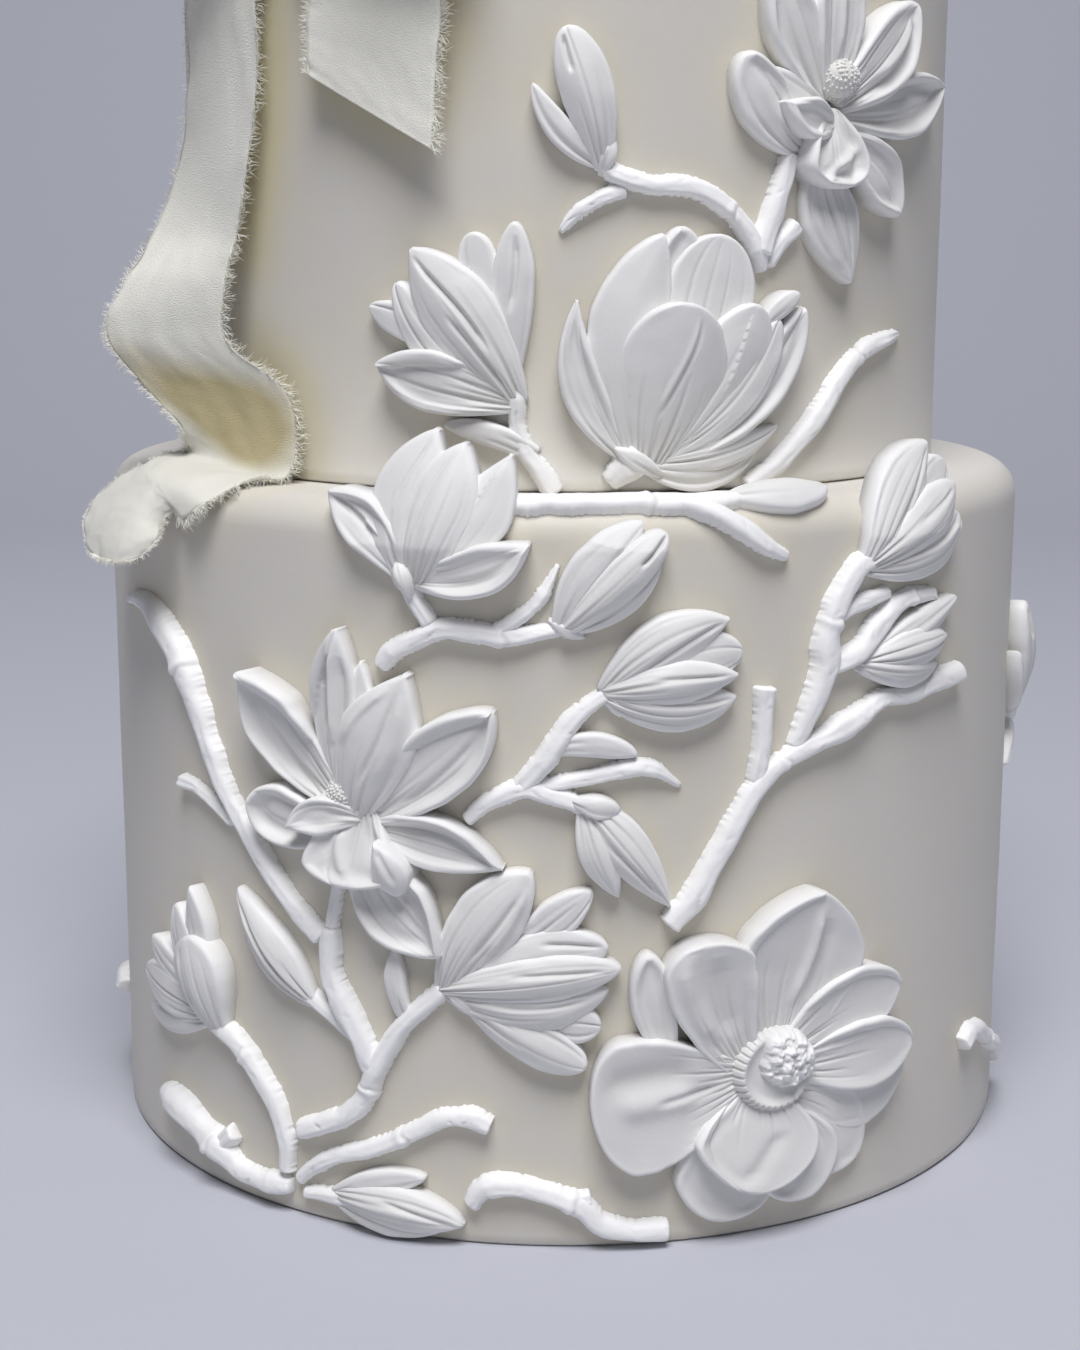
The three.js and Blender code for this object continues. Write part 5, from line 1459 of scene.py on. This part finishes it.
class CakeLowerSprays(bpy.types.Operator):
    """Lays the magnolias, buds and twigs on the front of the lower tier"""

    bl_idname = "cake.add_lower_sprays"
    bl_label = "Add Lower Sprays"

    def execute(self, context):
        sprays = (
            ("left_branch", LEFT_BRANCH, on_lower),
            ("open_magnolia", OPEN_MAGNOLIA + LOW_SPRAY, on_lower),
            ("rim_magnolia", RIM_MAGNOLIA, past_lower_rim),
            ("mid_spray", MID_SPRAY, on_lower),
            ("right_branch", RIGHT_BRANCH, past_lower_rim),
            ("rosette", ROSETTE, on_lower),
            ("far_left_bud", FAR_LEFT_BUD, on_lower),
            ("low_left_branch", LOW_LEFT_BRANCH, on_lower),
            ("low_twig", LOW_TWIG, on_lower),
            ("low_bud", LOW_BUD, on_lower),
            ("low_right_twig", LOW_RIGHT_TWIG, on_lower),
            ("rim_twig", RIM_TWIG, lay_over_rim),
        )
        for name, looks, lay in sprays:
            lay_spray(name, looks, lay)
        return {"FINISHED"}


class CakeUpperSprays(bpy.types.Operator):
    """Lays the magnolias, bud and twig on the front of the upper tier"""

    bl_idname = "cake.add_upper_sprays"
    bl_label = "Add Upper Sprays"

    def execute(self, context):
        lay_spray("top_spray", TOP_MAGNOLIA + BUD_BRANCH, on_upper)
        lay_spray("half_open_magnolia", HALF_OPEN, on_upper)
        lay_spray("cup_magnolia", CUP_MAGNOLIA, on_upper)
        lay_spray("diagonal_twig", DIAGONAL_TWIG, on_upper)
        return {"FINISHED"}


class CakeBackSprays(bpy.types.Operator):
    """Lays the same moulds round the sides and back"""

    bl_idname = "cake.add_back_sprays"
    bl_label = "Add Back Sprays"

    def execute(self, context):
        lay_spray("side_bud", BUD_BRANCH, on_lower, turn=78, rise=-150)
        lay_spray("side_twig", LOW_TWIG, on_lower, turn=50, mirror=True)
        lay_spray("back_branch", LEFT_BRANCH, on_lower, turn=95, mirror=True, rise=-30)
        lay_spray("back_left_branch", LEFT_BRANCH, on_lower, turn=-105, rise=-12)
        lay_spray("left_side_twig", LOW_TWIG, on_lower, turn=-70)
        lay_spray("upper_side_magnolia", HALF_OPEN, on_upper, turn=95, mirror=True)
        lay_spray("upper_back_bud", BUD_BRANCH, on_upper, turn=170)
        return {"FINISHED"}


class CakeRibbon(bpy.types.Operator):
    """Ties the torn silk ribbon: two tails, two loops and the knot"""

    bl_idname = "cake.add_ribbon"
    bl_label = "Add Ribbon"

    def execute(self, context):
        torn_ribbon("ribbon_long_tail", LONG_TAIL,
                    torn_end=True, folds=LONG_TAIL_FOLD_SHADE)
        torn_ribbon("ribbon_short_tail", SHORT_TAIL)
        for name, side in (("ribbon_left_loop", -1), ("ribbon_right_loop", 1)):
            torn_ribbon(name, loop_stations(side), LOOP_RIPPLE)
        mesh_data = bmesh.new()
        shape_knot(mesh_data)
        finish_piece("ribbon_knot_silk", mesh_data, material_of("silk"), ["ribbon_knot"])
        return {"FINISHED"}


class CakePaintedLight(bpy.types.Operator):
    """Marks painted bounce light in the icing's colour from the relief, the ribbon and the ledge"""

    bl_idname = "cake.mark_glow"
    bl_label = "Mark Glow"

    def execute(self, context):
        sizes = context.scene.cake_sizes
        paint_icing_light("lower_tier", sizes.lower_radius / MM)
        paint_icing_light("upper_tier", sizes.upper_radius / MM)
        return {"FINISHED"}


# Stage

CAMERA_PLACE = (0.0028, -0.648, 0.2526)
CAMERA_YAW = -0.83
CAMERA_PITCH = 11.49
CAMERA_ROLL = -0.17
LENS = 59.01
SENSOR = 36
FLOOR_HALF_WIDTH = 3
FLOOR_FRONT = -2.2
BEND_START = 1.2
BEND_RADIUS = 0.8
BEND_STEPS = 12
BACKDROP_TOP = 3.0
FLOOR_COLOUR = (0.525, 0.535, 0.59)
ROOM_COLOUR = (0.86, 0.90, 1.0, 1)
ROOM_STRENGTH = 0.115


def add_light(name, place, aim, size, power, colour):
    """A soft round light that faces a point."""
    data = bpy.data.lights.new(name, "AREA")
    data.shape = "DISK"
    data.size = size
    data.energy = power
    data.color = colour
    light = bpy.data.objects.new(name, data)
    light.location = place
    light.rotation_euler = (Vector(aim) - Vector(place)).to_track_quat("-Z", "Y").to_euler()
    bpy.context.scene.collection.objects.link(light)


def add_camera():
    """The camera at the photograph's viewing angle."""
    data = bpy.data.cameras.new("photo_view")
    data.lens = LENS
    data.sensor_width = SENSOR
    data.sensor_height = SENSOR
    data.sensor_fit = "VERTICAL"
    data.clip_start = 0.01
    camera = bpy.data.objects.new("photo_view", data)
    yaw, pitch = math.radians(CAMERA_YAW), math.radians(CAMERA_PITCH)
    ahead = Vector((math.sin(yaw) * math.cos(pitch), math.cos(yaw) * math.cos(pitch), -math.sin(pitch)))
    turn = ahead.to_track_quat("-Z", "Y").to_matrix()
    roll = Matrix.Rotation(math.radians(CAMERA_ROLL), 3, ahead)
    camera.matrix_world = Matrix.Translation(CAMERA_PLACE) @ (roll @ turn).to_4x4()
    bpy.context.scene.collection.objects.link(camera)
    bpy.context.scene.camera = camera


def add_floor():
    """A floor that bends up into a backdrop, swept from its side view."""
    mesh_data = bmesh.new()
    left = -FLOOR_HALF_WIDTH
    outline = [Vector((left, FLOOR_FRONT, 0)), Vector((left, BEND_START, 0))]
    for k in range(1, BEND_STEPS + 1):
        bend = k / BEND_STEPS * math.pi / 2
        outline.append(Vector((left, BEND_START + BEND_RADIUS * math.sin(bend),
                               BEND_RADIUS - BEND_RADIUS * math.cos(bend))))
    outline.append(Vector((left, BEND_START + BEND_RADIUS, BACKDROP_TOP)))
    verts = [mesh_data.verts.new(point) for point in outline]
    edges = [mesh_data.edges.new(pair) for pair in zip(verts, verts[1:])]
    made = bmesh.ops.extrude_edge_only(mesh_data, edges=edges)["geom"]
    moved = [item for item in made if isinstance(item, bmesh.types.BMVert)]
    bmesh.ops.translate(mesh_data, verts=moved, vec=(2 * FLOOR_HALF_WIDTH, 0, 0))
    for face in mesh_data.faces:
        face.smooth = True
    mesh = bpy.data.meshes.new("pale_floor")
    mesh_data.to_mesh(mesh)
    mesh_data.free()
    mesh.materials.append(new_material("pale_floor", FLOOR_COLOUR, 0.7)[0])
    floor = bpy.data.objects.new("pale_floor", mesh)
    bpy.context.scene.collection.objects.link(floor)
    return floor


class CakeStage(bpy.types.Operator):
    """Adds the pale floor and backdrop, the soft lights and the camera"""

    bl_idname = "cake.add_stage"
    bl_label = "Add Stage"

    def execute(self, context):
        scene = context.scene
        add_floor()
        add_light("key", (0.02, -1.34, 2.66), (0, -0.05, 0.18), 1.5, 80, (0.975, 0.972, 1.0))
        add_light("backdrop", (0, 0.7, 1.9), (0, 2.0, 0.5), 1.0, 3.5, (0.93, 0.95, 1.0))
        world = bpy.data.worlds.new("soft_room")
        scene.world = world
        world.use_nodes = True
        background = world.node_tree.nodes["Background"]
        background.inputs["Color"].default_value = ROOM_COLOUR
        background.inputs["Strength"].default_value = ROOM_STRENGTH
        add_camera()
        scene.view_settings.view_transform = "Standard"
        return {"FINISHED"}


class CakePanel(bpy.types.Panel):
    """Lists the cake's sizes, colours and steps"""

    bl_idname = "VIEW3D_PT_cake"
    bl_label = "Sugar Magnolia Cake"
    bl_space_type = "VIEW_3D"
    bl_region_type = "UI"
    bl_category = "Cake"

    def draw(self, context):
        layout = self.layout
        for group in (context.scene.cake_sizes, context.scene.cake_colours):
            for name in group.__annotations__:
                layout.prop(group, name)
        for step in STEPS:
            layout.operator(step.bl_idname)


STEPS = (CakeStage, CakeTiers, CakeLowerSprays, CakeUpperSprays, CakeBackSprays, CakeRibbon, CakePaintedLight)
CLASSES = (CakeSizes, CakeColours, *STEPS, CakePanel)


def register():
    for item in CLASSES:
        bpy.utils.register_class(item)
    bpy.types.Scene.cake_sizes = bpy.props.PointerProperty(type=CakeSizes)
    bpy.types.Scene.cake_colours = bpy.props.PointerProperty(type=CakeColours)


def unregister():
    del bpy.types.Scene.cake_sizes
    del bpy.types.Scene.cake_colours
    for item in reversed(CLASSES):
        bpy.utils.unregister_class(item)


def main():
    register()
    bpy.ops.cake.add_stage()
    bpy.ops.cake.add_tiers()
    bpy.ops.cake.add_lower_sprays()
    bpy.ops.cake.add_upper_sprays()
    bpy.ops.cake.add_back_sprays()
    bpy.ops.cake.add_ribbon()
    bpy.ops.cake.mark_glow()


if __name__ == "__main__":
    main()
